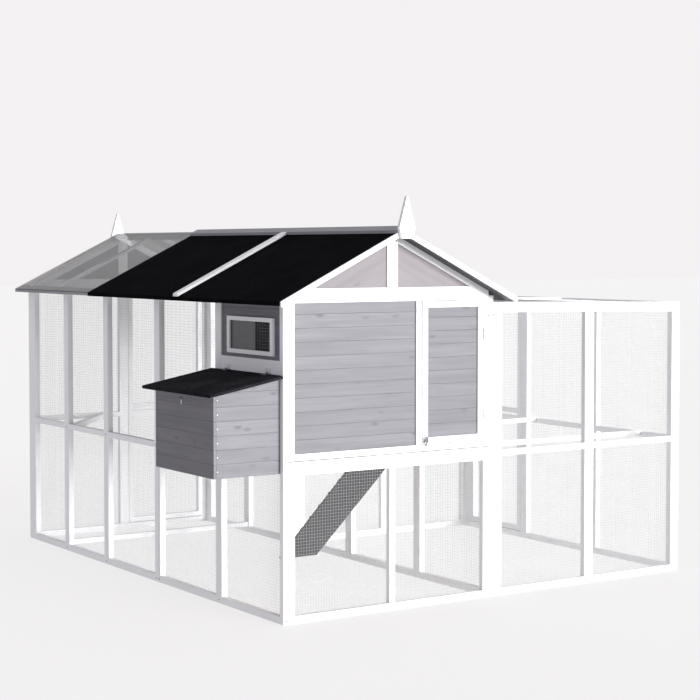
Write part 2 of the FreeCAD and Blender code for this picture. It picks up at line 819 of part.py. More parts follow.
def rear_door():
    """The meshed walk-in door in the rear wall."""
    left = "jamb_edge + door_gap"
    width = "(coop_width - wide_stile - jamb_edge - 2 * door_gap)"
    base = "sill + door_gap"
    height = "(wall_height - lumber - sill - 2 * door_gap)"
    low_rail = "mid_rail - sill - door_gap"
    high_rail = f"{low_rail} + lumber + rail_gap"
    y = "coop_length - lumber"
    door_leaf("rear_door_frame", (left, y, base), width, height, (low_rail, high_rail))
    inner_left = f"{left} + lumber"
    inner_right = f"{left} + {width} - lumber"
    grouped("rear_door_mesh", [
        cross_mesh(y, inner_left, inner_right, f"{base} + lumber", f"{base} + {low_rail}"),
        cross_mesh(y, inner_left, inner_right, f"{base} + {high_rail} + lumber",
                   f"{base} + {height} - lumber"),
    ])


def side_door():
    """The meshed walk-in door in the side run's right wall."""
    near = "lumber + side_joint + wide_stile + door_gap"
    width = "(side_length - lumber - wide_stile - lumber - side_joint - wide_stile - 2 * door_gap)"
    base = "sill + door_gap"
    top = f"({side_line('coop_width + side_width')})"
    height = f"({top} - lumber - sill - 2 * door_gap)"
    x = "coop_width + side_width - lumber"
    low_rail = "mid_rail - sill - door_gap"
    high_rail = f"{low_rail} + lumber + rail_gap"
    pieces = [
        stick((x, near, base), ("lumber", "lumber", height)),
        stick((x, f"{near} + {width} - lumber", base), ("lumber", "lumber", height)),
    ]
    for low in ("0", f"{height} - lumber", low_rail, high_rail):
        pieces.append(stick((x, f"{near} + lumber", f"{base} + {low}"),
                            ("lumber", f"{width} - 2 * lumber", "lumber")))
    grouped("side_door_frame", pieces)
    first = f"{near} + lumber"
    last = f"{near} + {width} - lumber"
    grouped("side_door_mesh", [
        wall_mesh(x, first, last, f"{base} + lumber", f"{base} + {low_rail}"),
        wall_mesh(x, first, last, f"{base} + {high_rail} + lumber", f"{base} + {height} - lumber"),
    ])


def ramp():
    """The plank that leads from the pop hole to the ground, with its cleats."""
    top = "ramp_top"
    start = "back_wall + board + ramp_gap"
    angle = "atan(ramp_top / ramp_run)"
    foot = f"{start} + ramp_run"
    outline = ((start, top), (foot, "0"),
               (f"{foot} + ramp_board * sin({angle})", f"ramp_board * cos({angle})"),
               (f"{start} + ramp_board * sin({angle})", f"{top} + ramp_board * cos({angle})"))
    plank = profile("YZ", outline, "ramp_width", "ramp_left")
    reach = "(lug_gap + lug + pin_reach)"
    pin = rod((f"ramp_left - {reach}", *RAMP_AXIS), "screw_shank", f"ramp_width + 2 * {reach}", ALONG_X)
    pieces = [joined([plank, pin])]
    count = int(SIZES["cleat_count"])
    for number in range(count):
        share = f"(({number} + first_cleat) / cleat_count)"
        y = f"({start} + ramp_run * {share} + ramp_board * sin({angle}))"
        z = f"({top} * (1 - {share}) + ramp_board * cos({angle}))"
        step = ((y, z), (f"{y} + 2 * cleat * cos({angle})", f"{z} - 2 * cleat * sin({angle})"),
                (f"{y} + 2 * cleat * cos({angle}) + cleat * sin({angle})",
                 f"{z} - 2 * cleat * sin({angle}) + cleat * cos({angle})"),
                (f"{y} + cleat * sin({angle})", f"{z} + cleat * cos({angle})"))
        pieces.append(profile("YZ", step, "ramp_width - 2 * cleat_inset", "ramp_left + cleat_inset"))
    grouped("ramp", pieces)


def ramp_lugs():
    """Two steel lugs on the house's rear bearer, bored for the pin that the ramp swings on."""
    wall = "back_wall + board"
    y, z = RAMP_AXIS
    lugs = []
    for x in ("ramp_left - lug_gap - lug", "ramp_left + ramp_width + lug_gap"):
        plate = stick((x, wall, f"{z} - lug_width / 2"), ("lug", f"{y} - ({wall})", "lug_width"))
        eye = rod((x, y, z), "lug_width / 2", "lug", ALONG_X)
        bore = rod((x, y, z), "screw_shank + running", "lug", ALONG_X)
        lugs.append(cut(joined([plate, eye]), bore))
    return lugs


def tray():
    """The droppings tray that draws out under the house front."""
    base = "slot_base + clearance"
    front = stick(("lumber + clearance", "0", base),
                  ("coop_width - 2 * (lumber + clearance)", "tray_front", "tray_front_height"))
    left = "lumber + tray_side_gap"
    width = f"coop_width - 2 * ({left})"
    outer = stick((left, "tray_front", base), (width, "tray_depth", "tray_lip"))
    hollow = stick((f"{left} + tray_sheet", "tray_front", f"{base} + tray_sheet"),
                   (f"{width} - 2 * tray_sheet", "tray_depth - tray_sheet", "tray_lip"))
    grouped("tray", [front, cut(outer, hollow)])


def perches():
    """Two perches across the side run on brackets, a corner brace and a floor tie."""
    left = "coop_width"
    right = "coop_width + side_width - lumber"
    low = f"{OVER_MID_RAIL} - perch_drop"
    bars, brackets = [], []
    for y in ("near_perch", "far_perch"):
        bars.append(stick((f"{left} + plate", y, low), ("side_width - lumber - 2 * plate", "perch", "perch")))
        wide = "perch + 2 * bracket_gap"
        near = f"{y} - bracket_gap"
        brackets.append(joined([
            stick((left, near, f"{low} - plate"), ("plate", wide, f"{OVER_MID_RAIL} - {low} + plate")),
            stick((left, near, f"{low} - plate"), ("lumber", wide, "plate")),
        ]))
        brackets.append(joined([
            stick((f"{right} - plate", near, f"{low} - plate"), ("plate", wide, "perch_drop + 2 * plate")),
            stick((f"{right} - lumber", near, f"{low} - plate"), ("lumber", wide, "plate")),
            stick((f"{right} - plate", near, OVER_MID_RAIL), ("lumber + 2 * plate", wide, "plate")),
            stick((f"{right} + lumber", near, "mid_rail"), ("plate", wide, "lumber + plate")),
        ]))
    grouped("run_perches", bars)
    grouped("perch_brackets", brackets)
    rear = "coop_length - lumber"
    outline = (("lumber", "brace_start"), ("lumber + brace_run", rear),
               ("lumber + brace_run - brace_end", rear), ("lumber", "brace_start + brace_width"))
    grouped("corner_perch", [profile("XY", outline, "lumber", "mid_rail")])
    tie = stick(("lumber", "fourth_stile + tie_offset", "sill"),
                ("coop_width - 2 * lumber", "lumber", "perch"))
    grouped("floor_tie", [tie])


def barrel(length):
    """Hinge knuckles about the Z axis: two outer ones with the pin, and a bored middle one."""
    third = f"({length}) / 3"
    outer = [
        rod(("0", "0", "0"), "knuckle", third),
        rod(("0", "0", f"2 * {third}"), "knuckle", third),
        rod(("0", "0", "0"), "pin", length),
    ]
    sleeve = rod(("0", "0", f"{third} + hinge_gap"), "knuckle", f"{third} - 2 * hinge_gap")
    bore = rod(("0", "0", "0"), "pin + running", length)
    return outer, sleeve, bore


def edge_hinge(corner, turn):
    """A butt hinge whose plates lie in the gap between a leaf's edge and its jamb.

    Before it is turned, the jamb is towards +X, the leaf towards -X and the outside towards -Y.
    """
    third = "hinge_length / 3"
    outer, sleeve, bore = barrel("hinge_length")
    thickness = "(door_gap / 2 - hinge_gap)"
    jamb = outer + [
        stick(("hinge_gap", "stand_off", "0"), (thickness, "leaf_width", "hinge_length")),
        stick(("hinge_gap", "0", "0"), (thickness, "stand_off", third)),
        stick(("hinge_gap", "0", f"2 * {third}"), (thickness, "stand_off", third)),
    ]
    leaf = [
        sleeve,
        stick(("-door_gap / 2", "stand_off", "0"), (thickness, "leaf_width", "hinge_length")),
        stick(("-door_gap / 2", "0", f"{third} + hinge_gap"),
              (thickness, "stand_off", f"{third} - 2 * hinge_gap")),
    ]
    return turned(joined(jamb), corner, turn), turned(cut(joined(leaf), bore), corner, turn)


def lid_hinge(corner):
    """A butt hinge with one plate up the wall rail and one down the sloping lid."""
    length = "lid_hinge_length"
    third = f"{length} / 3"
    outer, sleeve, bore = barrel(length)
    turn = FreeCAD.Rotation(X_AXIS, -90)
    wall = "stand_off - plate"
    top = "knuckle + hinge_gap"
    jamb = outer + [
        stick((wall, f"-({top} + lid_plate)", "0"), ("plate", "lid_plate", length)),
        stick((wall, f"-({top})", "0"), ("plate", top, third)),
        stick((wall, f"-({top})", f"2 * {third}"), ("plate", top, third)),
    ]
    x, y, z = corner
    start = f"({x} - knuckle - clearance)"
    end = f"({x} - lid_plate - knuckle)"
    surface = "-lid_felt_rise"
    over = "-(lid_felt_rise + plate)"
    plate = profile("XZ", ((end, nest_lid_line(end, surface)), (start, nest_lid_line(start, surface)),
                           (start, nest_lid_line(start, over)), (end, nest_lid_line(end, over))), length, y)
    web = profile("XZ", ((start, nest_lid_line(start, surface)), (x, f"{z} - knuckle"),
                         (x, f"{z} - pin - lid_felt_rise"), (start, nest_lid_line(start, over))),
                  f"{third} - 2 * hinge_gap", f"{y} + {third} + hinge_gap")
    fixed = turned(joined(jamb), corner, turn)
    moving = joined([turned(cut(sleeve, bore), corner, turn), plate, web])
    return fixed, moving


def turned(thing, corner, turn):
    """Turn a piece and bind its position."""
    thing.Placement.Rotation = turn
    place(thing, corner)
    return thing


def hinges():
    """Every hinge, its jamb half fixed and its leaf half moving with the door or lid."""
    fixed = []
    upright = FreeCAD.Rotation(Z_AXIS, 0)
    house_leaves, rear_leaves, side_leaves, lid_leaves = [], [], [], []
    x = "coop_width - 2 * lumber - door_gap / 2"
    for low in ("house_low_hinge", "house_high_hinge"):
        jamb, leaf = edge_hinge((x, "-stand_off", low), upright)
        fixed.append(jamb)
        house_leaves.append(leaf)
    heights = ("run_low_hinge", "run_mid_hinge", "run_high_hinge")
    over = FreeCAD.Rotation(X_AXIS, 180)
    x = "coop_width - wide_stile - door_gap / 2"
    for low in heights:
        jamb, leaf = edge_hinge((x, "coop_length + stand_off", f"{low} + hinge_length"), over)
        fixed.append(jamb)
        rear_leaves.append(leaf)
    aside = FreeCAD.Rotation(Z_AXIS, 90)
    y = "side_length - lumber - wide_stile - door_gap / 2"
    for low in heights:
        jamb, leaf = edge_hinge(("coop_width + side_width + stand_off", y, low), aside)
        fixed.append(jamb)
        side_leaves.append(leaf)
    for near in ("near_hinge", "far_hinge"):
        jamb, leaf = lid_hinge(("-stand_off", near, "lid_top + knuckle + hinge_gap"))
        fixed.append(jamb)
        lid_leaves.append(leaf)
    grouped("hinge_jamb_halves", fixed + ramp_lugs())
    grouped("house_door_hinges", house_leaves)
    grouped("rear_door_hinges", rear_leaves)
    grouped("side_door_hinges", side_leaves)
    grouped("nest_lid_hinges", lid_leaves)


def turn_button(thickness, turn, corner):
    """A rounded bar with a screw through it; its own axis is Z and it points along X."""
    reach = "button_length - button_width"
    bar = stick(("0", "-button_width / 2", "0"), (reach, "button_width", thickness))
    ends = [rod((x, "0", "0"), "button_width / 2", thickness) for x in ("0", reach)]
    bore = rod(("0", "0", "0"), "screw_shank + running", thickness)
    return turned(cut(joined([bar] + ends), bore), corner, turn)


def button_screw(thickness, turn, corner):
    """The screw that a button turns on."""
    shank = rod(("0", "0", "0"), "screw_shank", f"{thickness} + screw_gap")
    head = rod(("0", "0", f"{thickness} + screw_gap"), "screw_head", "head_dome")
    return turned(joined([shank, head]), corner, turn)


def facing(outward):
    """The turn that points a button's axis outward; its bar points up, or down on the nest box."""
    frames = {
        "Y": ((0, 0, 1), (1, 0, 0), (0, 1, 0)),
        "-Y": ((0, 0, -1), (1, 0, 0), (0, -1, 0)),
        "X": ((0, 0, 1), (0, -1, 0), (1, 0, 0)),
        "-X": ((0, 0, -1), (0, -1, 0), (-1, 0, 0)),
    }
    return FreeCAD.Rotation(*[FreeCAD.Vector(*axis) for axis in frames[outward]], "ZXY")


def catches():
    """Door buttons, the toggle on the house door and the hook on the nest box, with their screws."""
    screws = []
    height = "mid_rail + lumber / 2"
    spots = (
        ("rear_door_button", "Y", ("jamb_edge - wide_stile / 2", "coop_length", height)),
        ("side_door_button", "X",
         ("coop_width + side_width", "lumber + side_joint + wide_stile / 2", height)),
    )
    for label, outward, spot in spots:
        grouped(label, [turn_button("button_plate", facing(outward), spot)])
        screws.append(button_screw("button_plate", facing(outward), spot))
    spot = ("-nest_reach", "hook_place", "nest_front - hook_drop")
    grouped("nest_hook", [nest_hook(facing("-X"), spot)])
    screws.append(button_screw("plate", facing("-X"), spot))
    left = "mullion + lumber + 2 * door_gap + latch_inset"
    low = "front_base + lumber + door_gap + latch_rise"
    plate = stick((left, "-plate", low), ("latch_width", "plate", "latch_height"))
    spot = (f"{left} + latch_width / 2", "-plate", f"{low} + latch_height / 2")
    grouped("house_door_latch_plate", [joined([plate, button_screw("plate", facing("-Y"), spot)])])
    grouped("house_door_latch", [toggle(facing("-Y"), spot)])
    return screws


def nest_hook(turn, corner):
    """A flat arm with a hooked end."""
    arm = stick(("0", "-knuckle", "0"), ("hook_drop", "2 * knuckle", "plate"))
    eye = rod(("0", "0", "0"), "screw_head", "plate")
    tip = stick(("hook_drop - knuckle", "0", "0"), ("knuckle", "2 * screw_head", "plate"))
    bore = rod(("0", "0", "0"), "screw_shank + running", "plate")
    return turned(cut(joined([arm, eye, tip]), bore), corner, turn)


def toggle(turn, corner):
    """The lever of the house door's toggle: a short arm with a finger tab."""
    arm = stick(("0", "-screw_head", "0"), ("latch_height", "2 * screw_head", "plate"))
    eye = rod(("0", "0", "0"), "screw_head + clearance", "plate")
    tab = stick(("latch_height - plate", "-screw_head", "0"), ("plate", "2 * screw_head", "screw_head"))
    bore = rod(("0", "0", "0"), "screw_shank + running", "plate")
    return turned(cut(joined([arm, eye, tab]), bore), corner, turn)


def frame_screws(screws):
    """Screw heads at the frame joints, with the screws that the buttons turn on."""
    outer = FreeCAD.Rotation(Y_AXIS, -90)
    heights = ("sill / 2", "mid_rail + lumber / 2", "wall_height - lumber / 2")
    stiles = ("house_stile + wide_stile / 2", "panel_joint - lumber / 2", "panel_joint + lumber / 2",
              "third_stile + wide_stile / 2", "fourth_stile + wide_stile / 2")
    for y in stiles:
        for z in heights:
            screws.append(turned(rod(("0", "0", "0"), "knuckle", "head_depth"), ("0", y, z), outer))
    front = FreeCAD.Rotation(X_AXIS, 90)
    corner_post = "lumber / 2"
    far_post = "coop_width - lumber / 2"
    run_post = "coop_width + lumber / 2"
    spots = (
        (corner_post, heights[0]), (corner_post, heights[1]), (corner_post, "lid_rail + lumber"),
        (corner_post, heights[2]), (far_post, heights[0]), (far_post, heights[1]),
        (run_post, heights[0]), (run_post, heights[1]),
        ("(coop_width - lumber) / 2", "finial_low - lumber"),
        ("(coop_width + lumber) / 2", "finial_low - lumber"),
    )
    for x, z in spots:
        screws.append(turned(rod(("0", "0", "0"), "knuckle", "head_depth"), (x, "0", z), front))
    grouped("frame_screws", screws)


def build():
    """Make every sub-part."""
    long_walls()
    end_sheets = rear_wall() + front_wall()
    grouped("end_wall_mesh", end_sheets)
    house_walls()
    gables()
    roof()
    side_run()
    nest_box()
    window()
    house_door()
    rear_door()
    side_door()
    ramp()
    tray()
    perches()
    hinges()
    frame_screws(catches())


def write():
    """Check that nothing failed, then write each sub-part under its own name."""
    doc.recompute()
    failed = [thing.Name for thing in doc.Objects if {"Invalid", "Error"} & set(thing.State)]
    if failed:
        raise RuntimeError(f"these did not build: {failed}")
    labels = [thing.Label for thing in SUBPARTS]
    if len(set(labels)) != len(labels):
        raise RuntimeError("two sub-parts share a name")
    for thing in SUBPARTS:
        if thing.Shape.isNull() or not thing.Shape.isValid() or not thing.Shape.Solids:
            raise RuntimeError(f"{thing.Label} is not a valid solid")
    for thing in SUBPARTS:
        thing.Shape.exportStep(f"parts/{thing.Label}.step")


build()
write()
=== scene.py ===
import json
import logging
import math
import random
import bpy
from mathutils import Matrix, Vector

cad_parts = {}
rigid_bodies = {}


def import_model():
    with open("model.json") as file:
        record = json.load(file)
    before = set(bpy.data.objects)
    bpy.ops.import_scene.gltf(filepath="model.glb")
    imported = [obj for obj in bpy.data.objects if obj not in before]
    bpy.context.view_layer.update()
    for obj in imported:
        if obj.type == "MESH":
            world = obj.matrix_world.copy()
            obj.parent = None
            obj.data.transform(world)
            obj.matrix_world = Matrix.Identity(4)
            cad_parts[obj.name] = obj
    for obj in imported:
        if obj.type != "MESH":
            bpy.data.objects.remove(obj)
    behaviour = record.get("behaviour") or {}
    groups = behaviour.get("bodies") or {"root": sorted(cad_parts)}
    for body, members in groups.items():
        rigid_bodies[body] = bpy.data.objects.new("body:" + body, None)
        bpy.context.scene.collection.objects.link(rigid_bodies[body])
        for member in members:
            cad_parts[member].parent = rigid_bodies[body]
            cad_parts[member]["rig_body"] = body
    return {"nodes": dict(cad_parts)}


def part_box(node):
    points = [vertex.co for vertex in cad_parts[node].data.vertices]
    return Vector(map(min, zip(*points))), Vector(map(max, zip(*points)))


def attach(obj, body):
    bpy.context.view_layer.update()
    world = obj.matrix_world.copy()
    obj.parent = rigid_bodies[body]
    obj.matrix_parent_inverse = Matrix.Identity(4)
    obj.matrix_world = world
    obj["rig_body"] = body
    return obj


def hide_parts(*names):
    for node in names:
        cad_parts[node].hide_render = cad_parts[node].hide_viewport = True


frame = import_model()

import zlib
from collections.abc import Callable
from dataclasses import dataclass, field
from enum import Enum
from typing import ClassVar

import bmesh
import bpy
from mathutils import Matrix, Vector

log = logging.getLogger("coop")
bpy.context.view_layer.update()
Colour = tuple[float, float, float]
Triple = tuple[float, float, float]
MM = 0.001
FLAT_ENOUGH = math.radians(0.5)
SHARP = math.radians(20)
ROUNDED = math.radians(40)


class Cut(Enum):
    """How a piece's edges are finished."""

    SAWN = 1.1 * MM
    PLANED = 1.6 * MM
    PRESSED = 0.3 * MM


def body_of(node: str) -> str:
    """The CAD body that a node belongs to."""
    return frame["nodes"][node]["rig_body"]


def seeded(name: str) -> random.Random:
    """A random source that is the same on every run for one name."""
    return random.Random(zlib.crc32(name.encode()))


# ---------------------------------------------------------------- finishes


class Graph:
    """A small wrapper that adds and links shader nodes.

    The mix node's sockets go by number, because its colour sockets share their names with others.
    """

    MIX_AMOUNT: ClassVar[int] = 0
    MIX_FIRST: ClassVar[int] = 6
    MIX_SECOND: ClassVar[int] = 7
    MIX_RESULT: ClassVar[int] = 2

    def __init__(self, name: str) -> None:
        """Start a material.

        Args:
            name: the material's name.
        """
        self.material = bpy.data.materials.new(name)
        self.material.use_nodes = True
        self.tree = self.material.node_tree
        self.tree.nodes.clear()
        self.surface = self.add("ShaderNodeBsdfPrincipled")
        output = self.add("ShaderNodeOutputMaterial")
        self.tree.links.new(self.surface.outputs[0], output.inputs["Surface"])

    def add(self, kind: str, **settings: object) -> bpy.types.Node:
        """Add a node and set its properties.

        Args:
            kind: the node's type.
            settings: properties of the node, such as an operation.

        Returns:
            The new node.
        """
        node = self.tree.nodes.new(kind)
        for key, value in settings.items():
            setattr(node, key, value)
        return node

    def feed(self, node: bpy.types.Node, socket: str | int, source: object) -> None:
        """Link a socket when the source is one, or set its value.

        Args:
            node: the node to feed.
            socket: the input's name or number.
            source: an output socket, a number, a vector or a colour.
        """
        if isinstance(source, bpy.types.NodeSocket):
            self.tree.links.new(source, node.inputs[socket])
        else:
            node.inputs[socket].default_value = source

    def attribute(self, name: str, output: str) -> bpy.types.NodeSocket:
        """Read a mesh attribute."""
        return self.add("ShaderNodeAttribute", attribute_name=name).outputs[output]

    def scaled(self, vector: object, scale: Triple) -> bpy.types.NodeSocket:
        """Stretch a texture vector.

        Args:
            vector: the vector.
            scale: how much it is stretched along each axis.

        Returns:
            The stretched vector.
        """
        node = self.add("ShaderNodeVectorMath", operation="MULTIPLY")
        self.feed(node, 0, vector)
        self.feed(node, 1, scale)
        return node.outputs[0]

    def noise(
        self, vector: object, scale: float, detail: float = 3.0, rough: float = 0.55
    ) -> bpy.types.NodeSocket:
        """Noise between 0 and 1 at a scale.

        Args:
            vector: where to read the noise.
            scale: repeats for each unit of the vector.
            detail: octaves.
            rough: how strong the finer octaves are.

        Returns:
            The noise's value.
        """
        node = self.add("ShaderNodeTexNoise")
        self.feed(node, "Vector", vector)
        self.feed(node, "Scale", scale)
        self.feed(node, "Detail", detail)
        self.feed(node, "Roughness", rough)
        return node.outputs["Fac"]

    def spots(self, vector: object, scale: float) -> bpy.types.NodeSocket:
        """Scatter points and measure to the nearest one.

        Args:
            vector: where to measure from.
            scale: points for each unit of the vector.

        Returns:
            The distance.
        """
        node = self.add("ShaderNodeTexVoronoi")
        self.feed(node, "Vector", vector)
        self.feed(node, "Scale", scale)
        return node.outputs["Distance"]

    def remap(
        self, value: object, low: float, high: float, to_low: float, to_high: float
    ) -> bpy.types.NodeSocket:
        """Map one range to another, clamped.

        Args:
            value: what is mapped.
            low: the range's start.
            high: the range's end.
            to_low: what the start becomes.
            to_high: what the end becomes.

        Returns:
            The mapped value.
        """
        node = self.add("ShaderNodeMapRange")
        for socket, source in zip(range(5), (value, low, high, to_low, to_high)):
            self.feed(node, socket, source)
        return node.outputs[0]

    def mix(self, amount: object, first: object, second: object) -> bpy.types.NodeSocket:
        """Mix two colours.

        Args:
            amount: share of the second colour.
            first: a colour or an output.
            second: a colour or an output.

        Returns:
            The mixed colour.
        """
        node = self.add("ShaderNodeMix", data_type="RGBA")
        self.feed(node, self.MIX_AMOUNT, amount)
        for socket, colour in ((self.MIX_FIRST, first), (self.MIX_SECOND, second)):
            linked = isinstance(colour, bpy.types.NodeSocket)
            self.feed(node, socket, colour if linked else (*colour, 1.0))
        return node.outputs[self.MIX_RESULT]

    def maths(self, operation: str, first: object, second: object) -> bpy.types.NodeSocket:
        """Do one arithmetic step.

        Args:
            operation: the step's name.
            first: a number or an output.
            second: a number or an output.

        Returns:
            The result.
        """
        node = self.add("ShaderNodeMath", operation=operation)
        self.feed(node, 0, first)
        self.feed(node, 1, second)
        return node.outputs[0]

    def bump(self, height: object, strength: float, depth: float) -> None:
        """Give the surface a bump.

        Args:
            height: the height, from 0 to 1.
            strength: the share of the bump that shows.
            depth: the bump's depth in metres.
        """
        node = self.add("ShaderNodeBump")
        self.feed(node, "Height", height)
        self.feed(node, "Strength", strength)
        self.feed(node, "Distance", depth)
        self.feed(self.surface, "Normal", node.outputs[0])

    def surface_values(self, **values: object) -> None:
        """Set or link the surface shader's sockets, named with underscores for spaces."""
        for name, value in values.items():
            self.feed(self.surface, name.replace("_", " "), value)


@dataclass(frozen=True)
class PaintedTimber:
    """Softwood under thin paint, with the grain running along each stick."""

    name: str
    paint: Colour
    shadow: Colour
    knot: Colour
    streaks: float = 0.5
    knots: float = 0.3
    blotches: float = 0.25
    gloss: float = 0.52
    spread: float = 0.34
    coarse_repeats: ClassVar[Triple] = (1.6, 38.0, 38.0)
    fine_repeats: ClassVar[Triple] = (9.0, 330.0, 330.0)
    blotch_repeats: ClassVar[Triple] = (2.2, 9.0, 9.0)
    knot_repeats: ClassVar[Triple] = (5.5, 14.0, 14.0)
    knot_core: ClassVar[float] = 0.04
    knot_rim: ClassVar[float] = 0.15
    thin_share: ClassVar[float] = 0.45
    smoother: ClassVar[float] = 0.08
    rougher: ClassVar[float] = 0.14
    coarse_height: ClassVar[float] = 0.6
    fine_height: ClassVar[float] = 0.5
    relief: ClassVar[float] = 0.7 * MM

    def material(self) -> bpy.types.Material:
        """Build the material from each stick's own grain coordinates.

        Returns:
            The material.
        """
        graph = Graph(self.name)
        place = graph.attribute("grain_place", "Vector")
        tone = graph.attribute("tone", "Fac")
        coarse = graph.noise(graph.scaled(place, self.coarse_repeats), 1.0, detail=4.0, rough=0.6)
        fine = graph.noise(graph.scaled(place, self.fine_repeats), 1.0, detail=3.0, rough=0.6)
        blotch = graph.noise(graph.scaled(place, self.blotch_repeats), 1.0, detail=2.0, rough=0.5)
        streak = graph.remap(coarse, 0.40, 0.66, 0.0, 1.0)
        colour = graph.mix(graph.maths("MULTIPLY", streak, self.streaks), self.paint, self.shadow)
        soft = graph.remap(blotch, 0.45, 0.75, 0.0, self.blotches)
        colour = graph.mix(soft, colour, self.shadow)
        thin = graph.remap(fine, 0.52, 0.78, 0.0, self.streaks * self.thin_share)
        colour = graph.mix(thin, colour, self.shadow)
        near = graph.spots(graph.scaled(place, self.knot_repeats), 1.0)
        mark = graph.remap(near, self.knot_core, self.knot_rim, self.knots, 0.0)
        colour = graph.mix(mark, colour, self.knot)
        lift = graph.remap(tone, 0.0, 1.0, 0.0, self.spread)
        colour = graph.mix(lift, colour, self.shadow)
        rough = graph.remap(fine, 0.2, 0.8, self.gloss - self.smoother, self.gloss + self.rougher)
        graph.surface_values(Base_Color=colour, Roughness=rough)
        ridges = graph.maths("MULTIPLY", coarse, self.coarse_height)
        pores = graph.maths("MULTIPLY", fine, self.fine_height)
        graph.bump(graph.maths("ADD", ridges, pores), strength=0.5, depth=self.relief)
        return graph.material


@dataclass(frozen=True)
class MineralFelt:
    """Black roofing felt with its coat of mineral grains."""

    name: str
    ground: Colour
    grain: Colour
    grit_repeats: float
    grain_size: ClassVar[float] = 2.2 * MM
    patch_repeats: ClassVar[float] = 7.0
    patch_share: ClassVar[float] = 0.35
    shine: ClassVar[float] = 0.01
    relief: ClassVar[float] = 1.1 * MM

    def material(self) -> bpy.types.Material:
        """Build the granular material in the object's own coordinates.

        Returns:
            The material.
        """
        graph = Graph(self.name)
        place = graph.add("ShaderNodeTexCoord").outputs["Object"]
        near = graph.spots(place, 1.0 / self.grain_size)
        patch = graph.noise(place, self.patch_repeats, detail=4.0, rough=0.6)
        grit = graph.noise(place, self.grit_repeats, detail=2.0, rough=0.7)
        colour = graph.mix(graph.remap(grit, 0.52, 0.72, 0.0, 1.0), self.ground, self.grain)
        worn = graph.remap(patch, 0.35, 0.75, 0.0, self.patch_share)
        colour = graph.mix(worn, colour, self.grain)
        rough = graph.remap(near, 0.0, 0.7, 0.8, 1.0)
        graph.surface_values(Base_Color=colour, Roughness=rough, Specular_IOR_Level=self.shine)
        graph.bump(graph.maths("ADD", near, grit), strength=0.8, depth=self.relief)
        return graph.material


@dataclass(frozen=True)
class Metal:
    """Zinc-coated or painted steel."""

    name: str
    colour: Colour
    dull: Colour
    metallic: float
    roughness: float
    spangle: float = 90.0
    scratch_repeats: ClassVar[Triple] = (60.0, 900.0, 900.0)
    smoother: ClassVar[float] = 0.1
    rougher: ClassVar[float] = 0.15
    relief: ClassVar[float] = 0.2 * MM

    def material(self) -> bpy.types.Material:
        """Build the metal with patches, fine scratches and a little bump.

        Returns:
            The material.
        """
        graph = Graph(self.name)
        place = graph.add("ShaderNodeTexCoord").outputs["Object"]
        patch = graph.noise(place, self.spangle, detail=3.0, rough=0.6)
        scratch = graph.noise(graph.scaled(place, self.scratch_repeats), 1.0, detail=2.0, rough=0.6)
        colour = graph.mix(graph.remap(patch, 0.35, 0.7, 0.0, 0.9), self.colour, self.dull)
        smooth, rough = self.roughness - self.smoother, self.roughness + self.rougher
        graph.surface_values(
            Base_Color=colour,
            Metallic=self.metallic,
            Roughness=graph.remap(patch, 0.3, 0.75, smooth, rough),
        )
        graph.bump(graph.maths("ADD", patch, scratch), strength=0.3, depth=self.relief)
        return graph.material


@dataclass(frozen=True)
class ClearPlastic:
    """A see-through plastic sheet with a tint, a little dusty; on the roof, its dark tint and heavy cover
    are painted shade.
    """

    name: str
    tint: Colour
    cover: float
    dust: float
    haze_repeats: ClassVar[float] = 5.0
    speck_repeats: ClassVar[float] = 260.0
    speck_share: ClassVar[float] = 0.25
    worn_tint: ClassVar[float] = 0.9
    relief: ClassVar[float] = 2.0 * MM

    def material(self) -> bpy.types.Material:
        """Build the sheet with a light haze that gathers in patches.

        Returns:
            The material.
        """
        graph = Graph(self.name)
        place = graph.add("ShaderNodeTexCoord").outputs["Object"]
        haze = graph.noise(place, self.haze_repeats, detail=5.0, rough=0.65)
        speck = graph.noise(place, self.speck_repeats, detail=2.0, rough=0.6)
        dust = graph.maths("ADD", haze, graph.maths("MULTIPLY", speck, self.speck_share))
        film = graph.remap(dust, 0.5, 0.95, 0.0, self.dust)
        graph.surface_values(
            Base_Color=graph.mix(haze, self.tint, tuple(self.worn_tint * part for part in self.tint)),
            Roughness=graph.remap(haze, 0.3, 0.8, 0.06, 0.16),
            Alpha=graph.maths("ADD", film, self.cover),
            Specular_IOR_Level=0.5,
        )
        graph.bump(haze, strength=0.08, depth=self.relief)
        return graph.material


